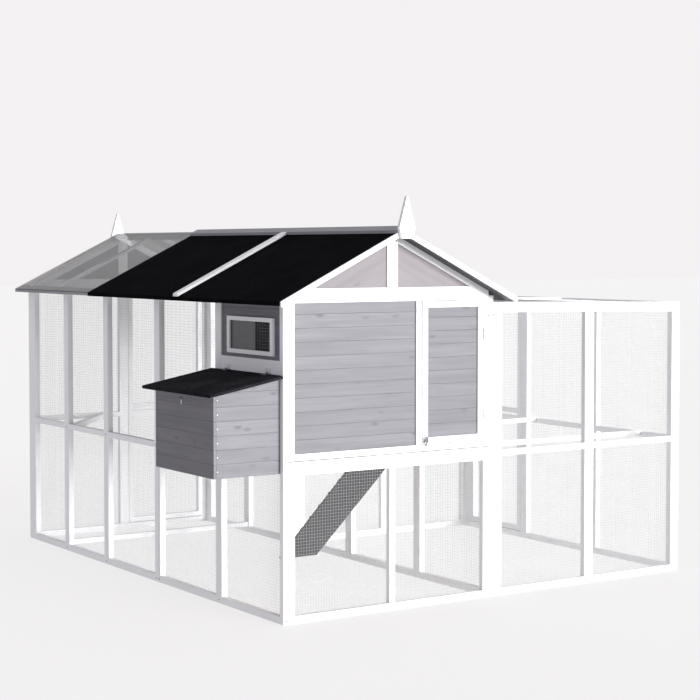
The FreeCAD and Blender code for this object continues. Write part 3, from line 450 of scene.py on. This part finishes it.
class Finishes(Enum):
    """Every finish on the coop."""

    WHITE = PaintedTimber(
        "white_painted_timber",
        paint=(0.86, 0.86, 0.87), shadow=(0.68, 0.68, 0.70), knot=(0.58, 0.56, 0.54),
        streaks=0.28, knots=0.16, blotches=0.16,
    )
    GREY = PaintedTimber(
        "grey_painted_timber",
        paint=(0.157, 0.152, 0.170), shadow=(0.097, 0.094, 0.108), knot=(0.060, 0.057, 0.063),
        streaks=0.6, knots=0.75, blotches=0.4,
    )
    PALE = PaintedTimber(
        "pale_grey_timber",
        paint=(0.262, 0.266, 0.292), shadow=(0.190, 0.192, 0.212), knot=(0.130, 0.130, 0.145),
        streaks=0.5, knots=0.3, blotches=0.35,
    )
    GABLE = PaintedTimber(
        "pink_grey_timber",
        paint=(0.186, 0.168, 0.180), shadow=(0.130, 0.117, 0.126), knot=(0.09, 0.08, 0.085),
        streaks=0.55, knots=0.5, blotches=0.35,
    )
    # Painted shade: grey timber made darker to stand for the shade on the ramp, the rafters, the roof boards
    # and the rear gable.
    DARK = PaintedTimber(
        "grey_timber_in_painted_shade",
        paint=(0.056, 0.054, 0.061), shadow=(0.036, 0.034, 0.039), knot=(0.020, 0.019, 0.021),
        streaks=0.6, knots=0.5, blotches=0.4,
    )
    BARE = PaintedTimber(
        "bare_softwood",
        paint=(0.62, 0.45, 0.27), shadow=(0.47, 0.31, 0.16), knot=(0.24, 0.12, 0.05),
        streaks=0.7, knots=0.8, blotches=0.4, gloss=0.6,
    )
    FELT = MineralFelt(
        "black_mineral_felt",
        ground=(0.0016, 0.0016, 0.0022), grain=(0.0110, 0.0115, 0.0140), grit_repeats=260.0,
    )
    # The lid's felt: the same grains, its colours painted lighter to make up for the light that the lid gets
    # too little of.
    LID_FELT = MineralFelt(
        "lid_felt_painted_lighter",
        ground=(0.0075, 0.0075, 0.0092), grain=(0.0480, 0.0490, 0.0560), grit_repeats=190.0,
    )
    WIRE = Metal(
        "galvanised_wire",
        colour=(0.66, 0.68, 0.67), dull=(0.45, 0.47, 0.46), metallic=0.4, roughness=0.45,
    )
    ZINC = Metal(
        "dull_zinc_steel",
        colour=(0.11, 0.11, 0.115), dull=(0.05, 0.05, 0.052), metallic=0.85, roughness=0.42,
    )
    BRIGHT = Metal(
        "bright_zinc_steel",
        colour=(0.62, 0.62, 0.63), dull=(0.40, 0.40, 0.41), metallic=0.5, roughness=0.35,
    )
    SHEET = Metal(
        "galvanised_sheet",
        colour=(0.55, 0.56, 0.57), dull=(0.42, 0.43, 0.44), metallic=0.8, roughness=0.38, spangle=24.0,
    )
    COATED = Metal(
        "white_coated_steel",
        colour=(0.78, 0.78, 0.78), dull=(0.70, 0.70, 0.70), metallic=0.0, roughness=0.4,
    )
    # The roof sheets' dark tint and heavy cover are painted shade: they darken the shaded members seen
    # through them.
    SMOKY = ClearPlastic("roof_plastic_with_painted_shade", tint=(0.045, 0.046, 0.052), cover=0.48, dust=0.06)
    TINTED = ClearPlastic("tinted_window_plastic", tint=(0.16, 0.16, 0.17), cover=0.45, dust=0.12)

    def material(self) -> bpy.types.Material:
        """The finish's material, built once."""
        known = bpy.data.materials.get(self.value.name)
        return known or self.value.material()


# ---------------------------------------------------------------- CAD solids and mesh building


@dataclass
class Solid:
    """One closed piece of a CAD node, with flat faces joined and vertices merged."""

    mesh: bmesh.types.BMesh

    def longest(self) -> Vector:
        """The direction of its longest edge."""
        edge = max(self.mesh.edges, key=lambda item: item.calc_length())
        return (edge.verts[1].co - edge.verts[0].co).normalized()

    def corners(self) -> tuple[Vector, Vector]:
        """Find the box that it fills.

        Returns:
            Its lowest and highest corner.
        """
        points = [vertex.co for vertex in self.mesh.verts]
        low = Vector([min(point[axis] for point in points) for axis in range(3)])
        high = Vector([max(point[axis] for point in points) for axis in range(3)])
        return low, high

    def widest_face(self) -> bmesh.types.BMFace:
        """Its largest flat face."""
        return max(self.mesh.faces, key=lambda item: item.calc_area())


def solids(node: str) -> list[Solid]:
    """Split a CAD node into its closed pieces.

    A piece ends where every edge met so far, told by its ends' places, has been met an even number of times.

    Args:
        node: the CAD node's name.

    Returns:
        The pieces, in the node's own order.
    """
    data = frame["nodes"][node].data
    places = [tuple(round(part, 6) for part in vertex.co) for vertex in data.vertices]
    pieces, faces, open_edges = [], [], set()
    for polygon in data.polygons:
        corners = [places[index] for index in polygon.vertices]
        faces.append(corners)
        for start, end in zip(corners, corners[1:] + corners[:1]):
            open_edges ^= {frozenset((start, end))}
        if not open_edges:
            pieces.append(welded(faces))
            faces = []
    return pieces


def welded(faces: list[list[Triple]]) -> Solid:
    """Make one closed piece from its triangles.

    Args:
        faces: each face's corner places.

    Returns:
        The piece, its coplanar triangles joined.
    """
    mesh = bmesh.new()
    made: dict[Triple, bmesh.types.BMVert] = {}
    for corners in faces:
        loop = []
        for place in corners:
            if place not in made:
                made[place] = mesh.verts.new(place)
            loop.append(made[place])
        if len(set(loop)) > 2:
            mesh.faces.new(loop)
    bmesh.ops.recalc_face_normals(mesh, faces=mesh.faces)
    mesh.normal_update()
    bmesh.ops.dissolve_limit(mesh, angle_limit=FLAT_ENOUGH, verts=mesh.verts, edges=mesh.edges)
    mesh.normal_update()
    return Solid(mesh)


class Piece:
    """A visible piece under construction: one mesh, several finishes, a grain for each stick."""

    GRAIN_SHIFT: ClassVar[float] = 40.0

    def __init__(self, name: str) -> None:
        """Start an empty piece.

        Args:
            name: the piece's name.
        """
        self.name = name
        self.mesh = bmesh.new()
        self.place = self.mesh.verts.layers.float_vector.new("grain_place")
        self.tone = self.mesh.verts.layers.float.new("tone")
        self.finishes: list[Finishes] = []
        self.chance = seeded(name)

    def slot(self, finish: Finishes) -> int:
        """Find a finish's place among the piece's materials, and add it when it is new.

        Args:
            finish: the finish.

        Returns:
            Its place.
        """
        if finish not in self.finishes:
            self.finishes.append(finish)
        return self.finishes.index(finish)

    def add(self, part: bmesh.types.BMesh, finish: Finishes, grain: Vector, smooth: bool = False) -> None:
        """Copy a part in, with its finish and the direction of its grain.

        Args:
            part: the part's mesh; it is freed here.
            finish: what it is made of.
            grain: the direction that the grain runs in.
            smooth: whether its faces are shaded round.
        """
        index = self.slot(finish)
        along = grain.normalized()
        across = along.orthogonal().normalized()
        through = along.cross(across)
        shift = Vector([self.chance.uniform(0.0, self.GRAIN_SHIFT) for _ in range(3)])
        tone = self.chance.random()
        copies = {}
        for vertex in part.verts:
            copy = self.mesh.verts.new(vertex.co)
            spot = Vector((vertex.co.dot(along), vertex.co.dot(across), vertex.co.dot(through)))
            copy[self.place] = spot + shift
            copy[self.tone] = tone
            copies[vertex] = copy
        for face in part.faces:
            made = self.mesh.faces.new([copies[vertex] for vertex in face.verts])
            made.material_index = index
            made.smooth = smooth
        part.free()

    def done(self, body: str, slot: str, *nodes: str) -> bpy.types.Object:
        """Turn the mesh into an object that rides on a body.

        Args:
            body: the CAD body that it rides on.
            slot: the record's material slot; not used.
            nodes: the CAD nodes that it stands for.

        Returns:
            The object.
        """
        data = bpy.data.meshes.new(self.name)
        self.mesh.to_mesh(data)
        self.mesh.free()
        for finish in self.finishes:
            data.materials.append(finish.material())
        piece = bpy.data.objects.new(self.name, data)
        bpy.context.scene.collection.objects.link(piece)
        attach(piece, body)
        if nodes:
            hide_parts(*nodes)
        log.info("%s: %d faces on %s", self.name, len(data.polygons), body)
        return piece


def break_edges(
    mesh: bmesh.types.BMesh,
    edges: list[bmesh.types.BMEdge],
    offset: float,
    steps: int = 2,
    profile: float = 0.6,
) -> None:
    """Take the sharpness off edges.

    Args:
        mesh: the mesh.
        edges: which of its edges.
        offset: how far each edge is cut back.
        steps: how many flats round it.
        profile: how full the rounding is.
    """
    bmesh.ops.bevel(
        mesh, geom=edges, offset=offset, segments=steps, profile=profile, affect="EDGES", clamp_overlap=True
    )


def eased(solid: Solid, cut: Cut) -> bmesh.types.BMesh:
    """A solid with its sharp edges taken off.

    Args:
        solid: the solid.
        cut: how far its edges are eased.

    Returns:
        Its mesh.
    """
    sharp = [edge for edge in solid.mesh.edges if edge.calc_face_angle(0.0) > SHARP]
    break_edges(solid.mesh, sharp, cut.value)
    return solid.mesh


@dataclass(frozen=True)
class ScrewHead:
    """A domed screw head with a cross recess."""

    radius: float
    rise: float
    around: ClassVar[int] = 20
    dome: ClassVar[tuple[tuple[float, float], ...]] = (
        (1.0, 0.0), (1.0, 0.25), (0.82, 0.72), (0.45, 1.0),
    )
    cross_points: ClassVar[int] = 8
    arm: ClassVar[float] = 0.36
    notch: ClassVar[float] = 0.12
    recess: ClassVar[float] = 0.35

    def mesh(self, centre: Vector, outward: Vector, turn: float) -> bmesh.types.BMesh:
        """Build the head.

        Args:
            centre: the middle of its seat.
            outward: the way that it faces.
            turn: how far the recess is turned, in radians.

        Returns:
            Its mesh.
        """
        mesh = bmesh.new()
        rows = []
        for share, height in self.dome:
            reach = share * self.radius
            row = []
            for step in range(self.around):
                angle = math.tau * step / self.around
                place = (reach * math.cos(angle), reach * math.sin(angle), height * self.rise)
                row.append(mesh.verts.new(place))
            rows.append(row)
        for lower, upper in zip(rows, rows[1:]):
            for step in range(self.around):
                following = (step + 1) % self.around
                mesh.faces.new((lower[step], lower[following], upper[following], upper[step]))
        arms = []
        for step in range(self.cross_points):
            angle = turn + math.tau * step / self.cross_points
            reach = (self.arm if step % 2 == 0 else self.notch) * self.radius
            place = (reach * math.cos(angle), reach * math.sin(angle), self.recess * self.rise)
            arms.append(mesh.verts.new(place))
        mesh.faces.new(list(reversed(rows[0])))
        mesh.faces.new(arms)
        bmesh.ops.bridge_loops(mesh, edges=[edge for edge in mesh.edges if len(edge.link_faces) == 1])
        mesh.transform(Matrix.Translation(centre) @ outward.to_track_quat("Z", "Y").to_matrix().to_4x4())
        return mesh


# ---------------------------------------------------------------- ways of dressing CAD nodes


@dataclass
class TimberWork:
    """Rebuilds timber nodes stick by stick, with eased edges and grain along each stick."""

    cut: Cut = Cut.SAWN

    def dress(self, node: str, finish: Finishes, slot: str) -> bpy.types.Object:
        """Dress one node in one finish.

        Args:
            node: the CAD node.
            finish: its paint.
            slot: the record's material slot.

        Returns:
            The new piece.
        """
        return self.dress_each(node, slot, lambda solid: finish)

    def dress_each(
        self, node: str, slot: str, choose: Callable[[Solid], Finishes]
    ) -> bpy.types.Object:
        """Dress one node, choosing each stick's finish.

        Args:
            node: the CAD node.
            slot: the record's material slot.
            choose: gives a solid's finish.

        Returns:
            The new piece.
        """
        piece = Piece(f"{node}_timber")
        for solid in solids(node):
            finish = choose(solid)
            grain = solid.longest()
            piece.add(eased(solid, self.cut), finish, grain)
        return piece.done(body_of(node), slot, node)


@dataclass
class Wires:
    """Straight round wires gathered into one piece."""

    points: list[Vector] = field(default_factory=list)
    faces: list[tuple[int, ...]] = field(default_factory=list)

    def rod(self, start: Vector, end: Vector, radius: float, sides: int) -> None:
        """Add a straight round wire.

        Args:
            start: the middle of one end.
            end: the middle of the other.
            radius: its radius.
            sides: how many flats stand for its roundness.
        """
        along = (end - start).normalized()
        across = along.orthogonal().normalized()
        through = along.cross(across)
        base = len(self.points)
        for centre in (start, end):
            for step in range(sides):
                angle = math.tau * step / sides
                self.points.append(centre + radius * (math.cos(angle) * across + math.sin(angle) * through))
        for step in range(sides):
            following = (step + 1) % sides
            self.faces.append((base + step, base + following, base + sides + following, base + sides + step))

    def done(self, name: str, finish: Finishes, body: str, slot: str, smooth: bool) -> bpy.types.Object:
        """Turn the wires into an object that rides on a body.

        Args:
            name: the piece's name.
            finish: its metal.
            body: the CAD body that it rides on.
            slot: the record's material slot; not used.
            smooth: whether the wires are shaded round.

        Returns:
            The object.
        """
        data = bpy.data.meshes.new(name)
        data.from_pydata(self.points, [], self.faces)
        data.polygons.foreach_set("use_smooth", [smooth] * len(self.faces))
        data.materials.append(finish.material())
        piece = bpy.data.objects.new(name, data)
        bpy.context.scene.collection.objects.link(piece)
        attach(piece, body)
        log.info("%s: %d faces on %s", name, len(self.faces), body)
        return piece


@dataclass
class WireWork:
    """Welded wire mesh, with real wires both ways."""

    pitch: float = 13.0 * MM
    wire: float = 0.72 * MM
    sides: int = 6
    lies_flat: ClassVar[float] = 0.7

    def dress(self, *nodes: str) -> None:
        """Replace flat sheets with welded wires.

        Args:
            nodes: the CAD nodes of flat sheets.
        """
        for node in nodes:
            wires = Wires()
            for solid in solids(node):
                self.weave(solid, wires)
            piece = wires.done(f"{node}_wires", Finishes.WIRE, body_of(node), "welded_mesh", smooth=True)
            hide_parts(node)

    def weave(self, solid: Solid, wires: Wires) -> None:
        """Add the wires of one sheet, one way in front of the sheet's middle and the other way behind it.

        Args:
            solid: the flat sheet; it is freed here.
            wires: the wires, added to here.
        """
        face = solid.widest_face()
        normal = face.normal.copy()
        upright = abs(normal.z) <= self.lies_flat
        level = normal.cross(Vector((0.0, 0.0, 1.0))) if upright else Vector((0.0, 1.0, 0.0))
        level = (level - normal * level.dot(normal)).normalized()
        rise = normal.cross(level).normalized()
        low, high = solid.corners()
        middle = normal * ((low + high) / 2).dot(normal)
        outline = [(corner.co.dot(level), corner.co.dot(rise)) for corner in face.verts]
        for axis, side in ((0, -0.5), (1, 0.5)):
            values = [corner[axis] for corner in outline]
            start, end = min(values), max(values)
            count = max(1, round((end - start) / self.pitch))
            step = (end - start) / count
            for number in range(1, count):
                at = start + number * step
                ends = crossing(outline, axis, at)
                if ends is None:
                    continue
                first, second = [
                    middle + normal * side * self.wire
                    + (level * at + rise * other if axis == 0 else level * other + rise * at)
                    for other in ends
                ]
                wires.rod(first, second, self.wire / 2, self.sides)
        solid.mesh.free()


def crossing(outline: list[tuple[float, float]], axis: int, at: float) -> tuple[float, float] | None:
    """Where a straight line crosses a convex outline.

    Args:
        outline: the outline's corners.
        axis: which coordinate stays the same along the line.
        at: that coordinate's value.

    Returns:
        The other coordinate's lowest and highest value, or None.
    """
    found = []
    for start, end in zip(outline, outline[1:] + outline[:1]):
        before, after = start[axis] - at, end[axis] - at
        if before * after < 0.0:
            share = before / (before - after)
            found.append(start[1 - axis] + share * (end[1 - axis] - start[1 - axis]))
    return (min(found), max(found)) if len(found) > 1 else None


@dataclass
class IronWork:
    """Small steel parts, with broken edges and round parts shaded round."""

    ease: float = 0.25 * MM

    def dress(self, node: str, finish: Finishes, slot: str) -> bpy.types.Object:
        """Dress a metal node.

        Args:
            node: the CAD node.
            finish: its metal.
            slot: the record's material slot.

        Returns:
            The new piece.
        """
        piece = Piece(f"{node}_metal")
        for solid in solids(node):
            grain = solid.longest()
            mesh = solid.mesh
            sharp = [edge for edge in mesh.edges if edge.calc_face_angle(0.0) > ROUNDED]
            break_edges(mesh, sharp, self.ease)
            piece.add(mesh, finish, grain, smooth=True)
        made = piece.done(body_of(node), slot, node)
        made.data.set_sharp_from_angle(angle=ROUNDED)
        return made


# ---------------------------------------------------------------- sub-assemblies


@dataclass
class Runs:
    """The main run's walls, the side run and everything that stands in them."""

    timber: TimberWork = field(default_factory=TimberWork)
    wires: WireWork = field(default_factory=WireWork)
    frames: tuple[str, ...] = (
        "left_wall_frame", "right_wall_frame", "rear_wall_frame", "front_lower_frame",
        "side_front_frame", "side_rear_frame", "side_right_frame", "side_roof_frames",
        "run_perches", "corner_perch", "floor_tie",
    )
    sheets: tuple[str, ...] = (
        "left_wall_mesh", "right_wall_mesh", "end_wall_mesh", "side_run_mesh", "side_roof_mesh",
    )

    def build(self) -> None:
        """Build frames, wires, perches and brackets."""
        for node in self.frames:
            self.timber.dress(node, Finishes.WHITE, "white_timber")
        self.wires.dress(*self.sheets)
        IronWork().dress("perch_brackets", Finishes.COATED, "white_metal")


@dataclass
class House:
    """The raised house: its boarded walls, floor, window, ramp and tray."""

    timber: TimberWork = field(default_factory=TimberWork)
    boards: TimberWork = field(default_factory=lambda: TimberWork(Cut.PLANED))
    thickest_board: float = 30.0 * MM

    def build(self) -> None:
        """Build the shell, then what is fitted to it."""
        self.timber.dress("front_upper_frame", Finishes.WHITE, "white_timber")
        for node in ("front_boards", "house_left_boards", "house_right_boards", "house_back_boards"):
            self.boards.dress(node, Finishes.GREY, "grey_timber")
        self.timber.dress("house_floor", Finishes.BARE, "bare_timber")
        # The ramp's dark grey is painted shade for grey paint in the deep shade under the house.
        self.timber.dress("ramp", Finishes.DARK, "grey_timber")
        self.tray()
        self.window()

    def tray(self) -> None:
        """The tray: a painted front board, told by its thickness, on a folded sheet."""
        piece = Piece("tray_fitted")
        for solid in solids("tray"):
            low, high = solid.corners()
            board = high.y - low.y < self.thickest_board
            grain = Vector((1.0, 0.0, 0.0))
            finish = Finishes.WHITE if board else Finishes.SHEET
            piece.add(eased(solid, Cut.SAWN if board else Cut.PRESSED), finish, grain)
        piece.done(body_of("tray"), "galvanised", "tray")

    def window(self) -> None:
        """The window's trim, wires and sliding pane."""
        self.timber.dress("window_frame", Finishes.WHITE, "white_timber")
        WireWork().dress("window_mesh")
        piece = Piece("window_pane_sheet")
        for solid in solids("window_pane"):
            piece.add(eased(solid, Cut.PRESSED), Finishes.TINTED, Vector((0.0, 1.0, 0.0)))
        piece.done(body_of("window_pane"), "clear_sheet", "window_pane")


@dataclass
class NestBox:
    """The nest box and its felted lid."""

    boards: TimberWork = field(default_factory=lambda: TimberWork(Cut.PLANED))
    nail: ScrewHead = ScrewHead(2.2 * MM, 0.4 * MM)
    nail_turn: float = 0.4
    nail_inset: float = 6.0 * MM
    nail_height: float = 28.0 * MM
    lid_room: float = 12.0 * MM
    same_face: float = 1.0 * MM
    felt_lap: float = 0.8 * MM
    felt_round: float = 4.0 * MM
    felt_steps: int = 4
    felt_profile: float = 0.5
    felt_flat: float = math.radians(2)

    def build(self) -> None:
        """Build the box, the lid, its hinges and the hook."""
        for node in ("nest_front_boards", "nest_side_boards"):
            self.boards.dress(node, Finishes.GREY, "grey_timber")
        TimberWork().dress("nest_floor", Finishes.BARE, "bare_timber")
        self.nails()
        TimberWork().dress("nest_lid", Finishes.GREY, "grey_timber")
        self.lid_felt()
        iron = IronWork()
        iron.dress("nest_lid_hinges", Finishes.ZINC, "hardware")
        iron.dress("nest_hook", Finishes.BRIGHT, "hardware")

    def lid_felt(self) -> None:
        """The felt, drawn round the lid's edges in one piece with soft corners."""
        shell = bmesh.new()
        for solid in solids("nest_lid_felt"):
            for vertex in solid.mesh.verts:
                shell.verts.new(vertex.co)
            solid.mesh.free()
        hull = bmesh.ops.convex_hull(shell, input=shell.verts)
        bmesh.ops.delete(shell, geom=list(set(hull["geom_interior"] + hull["geom_unused"])), context="VERTS")
        bmesh.ops.dissolve_limit(shell, angle_limit=self.felt_flat, verts=shell.verts, edges=shell.edges)
        under = min(shell.faces, key=lambda item: item.normal.z)
        for vertex in under.verts:
            vertex.co.z += self.felt_lap
        break_edges(shell, shell.edges[:], self.felt_round, self.felt_steps, self.felt_profile)
        piece = Piece("nest_lid_felt_sheet")
        # The lid felt's lighter colour is painted light, for the light that the lid gets too little of.
        piece.add(shell, Finishes.LID_FELT, Vector((0.0, 1.0, 0.0)), smooth=True)
        made = piece.done(body_of("nest_lid_felt"), "roofing_felt", "nest_lid_felt")
        made.data.set_sharp_from_angle(angle=ROUNDED)

    def nails(self) -> None:
        """Painted nail heads in the near side's boards, where they meet the front boards."""
        piece = Piece("nest_side_nails")
        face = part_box("nest_side_boards")[0].y
        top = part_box("nest_front_boards")[1].z - self.lid_room
        for solid in solids("nest_side_boards"):
            low, high = solid.corners()
            height = min((low.z + high.z) / 2, low.z + self.nail_height)
            if low.y > face + self.same_face or height > top:
                continue
            spot = Vector((low.x + self.nail_inset, low.y, height))
            head = self.nail.mesh(spot, Vector((0.0, -1.0, 0.0)), self.nail_turn)
            piece.add(head, Finishes.WHITE, Vector((0.0, 0.0, 1.0)), smooth=True)
        piece.done("coop", "white_timber")


@dataclass
class Roof:
    """Gables, rafters, felted boards, the clear module, trim, cap and finials."""

    timber: TimberWork = field(default_factory=TimberWork)
    front_part: float = 1.0
    along_ridge: float = 0.9

    def build(self) -> None:
        """Build the roof from the gables up."""
        self.timber.dress("gable_frames", Finishes.WHITE, "white_timber")
        self.timber.dress_each("gable_boards", "grey_timber", self.gable_finish)
        # Rafters and roof boards get the darker grey as painted shade, for the shade under the roof and the
        # overhang.
        self.timber.dress("rafters", Finishes.DARK, "grey_timber")
        self.timber.dress("roof_boards", Finishes.DARK, "grey_timber")
        self.felt()
        self.timber.dress_each("clear_roof_frame", "white_timber", self.clear_finish)
        self.clear_sheets()
        self.timber.dress("roof_trim_boards", Finishes.WHITE, "white_timber")
        self.timber.dress("ridge_cap", Finishes.PALE, "grey_timber")
        self.timber.dress("ridge_finials", Finishes.WHITE, "white_timber")

    def gable_finish(self, solid: Solid) -> Finishes:
        """Pink-grey in the front gable; darker grey in the rear one, as painted shade under the roof."""
        return Finishes.GABLE if solid.corners()[0].y < self.front_part else Finishes.DARK

    def clear_finish(self, solid: Solid) -> Finishes:
        """White battens up the slope, grey rails along it."""
        return Finishes.PALE if abs(solid.longest().y) > self.along_ridge else Finishes.WHITE

    def felt(self) -> None:
        """The felt on the boards and its folds over the eaves."""
        piece = Piece("roof_felt_sheet")
        for solid in solids("roof_felt"):
            piece.add(eased(solid, Cut.SAWN), Finishes.FELT, Vector((0.0, 1.0, 0.0)))
        piece.done(body_of("roof_felt"), "roofing_felt", "roof_felt")

    def clear_sheets(self) -> None:
        """The two clear sheets."""
        piece = Piece("clear_roof_sheets_plastic")
        for solid in solids("clear_roof_sheets"):
            # Their dark tint is painted shade over what lies under them.
            piece.add(eased(solid, Cut.PRESSED), Finishes.SMOKY, Vector((0.0, 1.0, 0.0)))
        piece.done(body_of("clear_roof_sheets"), "clear_sheet", "clear_roof_sheets")


@dataclass
class Doors:
    """The boarded house door and the two meshed walk-in doors, with their catches."""

    timber: TimberWork = field(default_factory=TimberWork)
    hook_drop: float = 97.0 * MM
    hook_gap: float = 5.0 * MM
    hook_reach: float = 17.0 * MM
    hook_wire: float = 1.5 * MM
    hook_rise: float = 3.0 * MM
    eye_wire: float = 2.1 * MM
    hook_sides: int = 8
    button_gap: float = 0.3 * MM
    head_thickness: float = 1.5 * MM
    largest_turn: float = 1.5

    def build(self) -> None:
        """Build each leaf, then its ironwork."""
        for node in ("house_door_frame", "rear_door_frame", "side_door_frame"):
            self.timber.dress(node, Finishes.WHITE, "white_timber")
        TimberWork(Cut.PLANED).dress("house_door_boards", Finishes.GREY, "grey_timber")
        WireWork().dress("rear_door_mesh", "side_door_mesh")
        iron = IronWork()
        for node in ("house_door_hinges", "rear_door_hinges", "side_door_hinges", "hinge_jamb_halves"):
            iron.dress(node, Finishes.BRIGHT, "hardware")
        for node in ("house_door_latch", "house_door_latch_plate"):
            iron.dress(node, Finishes.ZINC, "hardware")
        for node, outward in (("rear_door_button", 1), ("side_door_button", 0)):
            button = iron.dress(node, Finishes.WHITE, "grey_timber")
            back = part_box(node)[0][outward] + self.button_gap
            for vertex in button.data.vertices:
                vertex.co[outward] = max(vertex.co[outward], back)
        self.screws()
        self.hook_and_eye()

    def hook_and_eye(self) -> None:
        """The wire hook that holds the side run's front frame to the house's post."""
        house_low, house_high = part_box("front_upper_frame")
        side_low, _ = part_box("side_front_frame")
        seam = (house_high.x + side_low.x) / 2
        height = house_high.z - self.hook_drop
        front = min(house_low.y, side_low.y) - self.hook_gap
        wires = Wires()
        first = Vector((seam - self.hook_reach, front, height))
        second = Vector((seam + self.hook_reach, front, height + self.hook_rise))
        wires.rod(first, second, self.hook_wire, self.hook_sides)
        for end in (first, second):
            seat = end + Vector((0.0, self.hook_gap, 0.0))
            wires.rod(end - Vector((0.0, self.hook_wire, 0.0)), seat, self.eye_wire, self.hook_sides)
        wires.done("seam_hook_and_eye", Finishes.ZINC, "coop", "hardware", smooth=False)

    def screws(self) -> None:
        """Screw heads on the frames, and the longer screws that the catches turn on."""
        piece = Piece("frame_screws_heads")
        chance = seeded("screws")
        for solid in solids("frame_screws"):
            low, high = solid.corners()
            size = high - low
            thin = min(range(3), key=lambda axis: size[axis])
            if size[thin] > self.head_thickness:
                piece.add(solid.mesh, Finishes.ZINC, Vector((0.0, 0.0, 1.0)), smooth=True)
                continue
            outward = Vector((0.0, 0.0, 0.0))
            outward[thin] = -1.0
            seat = (low + high) / 2
            seat[thin] = high[thin]
            head = ScrewHead(sorted(size)[1] / 2, size[thin])
            mesh = head.mesh(seat, outward, chance.uniform(0.0, self.largest_turn))
            piece.add(mesh, Finishes.ZINC, Vector((0.0, 0.0, 1.0)), smooth=True)
        piece.done("coop", "hardware", "frame_screws")


@dataclass
class Studio:
    """The floor, the light and the camera."""

    eye: Vector = field(default_factory=lambda: Vector((-4.1614, -5.9631, 1.5315)))
    heading: float = 0.585695
    dip: float = 0.044584
    lens: float = 88.82
    shift: float = -0.0348
    floor_tone: Colour = (0.12, 0.12, 0.12)
    floor_glow: float = 0.765
    floor_colour: Colour = (1.0, 0.985, 0.993)
    floor_reach: float = 60.0
    cloud_share: float = 0.99
    left_sky: Colour = (0.36, 0.365, 0.42)
    open_sky: Colour = (0.905, 0.885, 0.895)
    sky_change: tuple[float, float] = (-0.75, 0.1)
    sun_from: Vector = field(default_factory=lambda: Vector((2.9, -7.9, 0.7)))
    sun_strength: float = 7.3
    sun_spread: float = math.radians(26)
    view_end: float = 200.0

    def build(self) -> None:
        """Set up everything that isn't the coop."""
        self.floor()
        self.light()
        self.camera()
        bpy.context.scene.view_settings.view_transform = "Standard"

    def floor(self) -> None:
        """A plain pale floor that glows a little, so that it meets the sky without a line."""
        data = bpy.data.meshes.new("studio_floor")
        reach = self.floor_reach
        corners = [(-reach, -reach, 0.0), (reach, -reach, 0.0), (reach, reach, 0.0), (-reach, reach, 0.0)]
        data.from_pydata(corners, [], [(0, 1, 2, 3)])
        graph = Graph("pale_floor")
        place = graph.add("ShaderNodeTexCoord").outputs["Object"]
        cloud = graph.noise(place, 0.6)
        dimmer = tuple(self.cloud_share * part for part in self.floor_tone)
        graph.surface_values(
            Base_Color=graph.mix(cloud, self.floor_tone, dimmer),
            Roughness=0.9,
            Specular_IOR_Level=0.1,
            Emission_Color=(*self.floor_colour, 1.0),
            Emission_Strength=self.floor_glow,
        )
        data.materials.append(graph.material)
        plane = bpy.data.objects.new("studio_floor", data)
        bpy.context.scene.collection.objects.link(plane)

    def light(self) -> None:
        """A pale sky, dimmer to the left, and a broad key light from the front right."""
        world = bpy.data.worlds.new("studio_sky")
        bpy.context.scene.world = world
        world.use_nodes = True
        tree = world.node_tree
        tree.nodes.clear()
        place = tree.nodes.new("ShaderNodeTexCoord").outputs["Generated"]
        split = tree.nodes.new("ShaderNodeSeparateXYZ")
        tree.links.new(place, split.inputs[0])
        across = tree.nodes.new("ShaderNodeMapRange")
        for socket, value in zip(range(1, 5), (*self.sky_change, 0.0, 1.0)):
            across.inputs[socket].default_value = value
        tree.links.new(split.outputs["X"], across.inputs[0])
        blend = tree.nodes.new("ShaderNodeMix")
        blend.data_type = "RGBA"
        blend.inputs[Graph.MIX_FIRST].default_value = (*self.left_sky, 1.0)
        blend.inputs[Graph.MIX_SECOND].default_value = (*self.open_sky, 1.0)
        tree.links.new(across.outputs[0], blend.inputs[Graph.MIX_AMOUNT])
        sky = tree.nodes.new("ShaderNodeBackground")
        tree.links.new(blend.outputs[Graph.MIX_RESULT], sky.inputs["Color"])
        output = tree.nodes.new("ShaderNodeOutputWorld")
        tree.links.new(sky.outputs[0], output.inputs["Surface"])
        data = bpy.data.lights.new("key_light", "SUN")
        data.energy = self.sun_strength
        data.angle = self.sun_spread
        lamp = bpy.data.objects.new("key_light", data)
        lamp.location = self.sun_from
        lamp.rotation_euler = (-self.sun_from).to_track_quat("-Z", "Y").to_euler()
        bpy.context.scene.collection.objects.link(lamp)

    def camera(self) -> None:
        """The camera, at a person's eye height off the left front corner."""
        data = bpy.data.cameras.new("camera")
        data.lens = self.lens
        data.shift_y = self.shift
        data.clip_end = self.view_end
        camera = bpy.data.objects.new("camera", data)
        camera.location = self.eye
        camera.rotation_euler = (math.pi / 2 - self.dip, 0.0, -self.heading)
        bpy.context.scene.collection.objects.link(camera)
        bpy.context.scene.camera = camera


def main() -> None:
    """Build the coop's pieces in order, then the studio."""
    logging.basicConfig(level=logging.INFO, format="%(name)s: %(message)s")
    for assembly in (Runs(), House(), NestBox(), Roof(), Doors()):
        assembly.build()
        log.info("built %s", type(assembly).__name__)
    Studio().build()


if __name__ == "__main__":
    main()
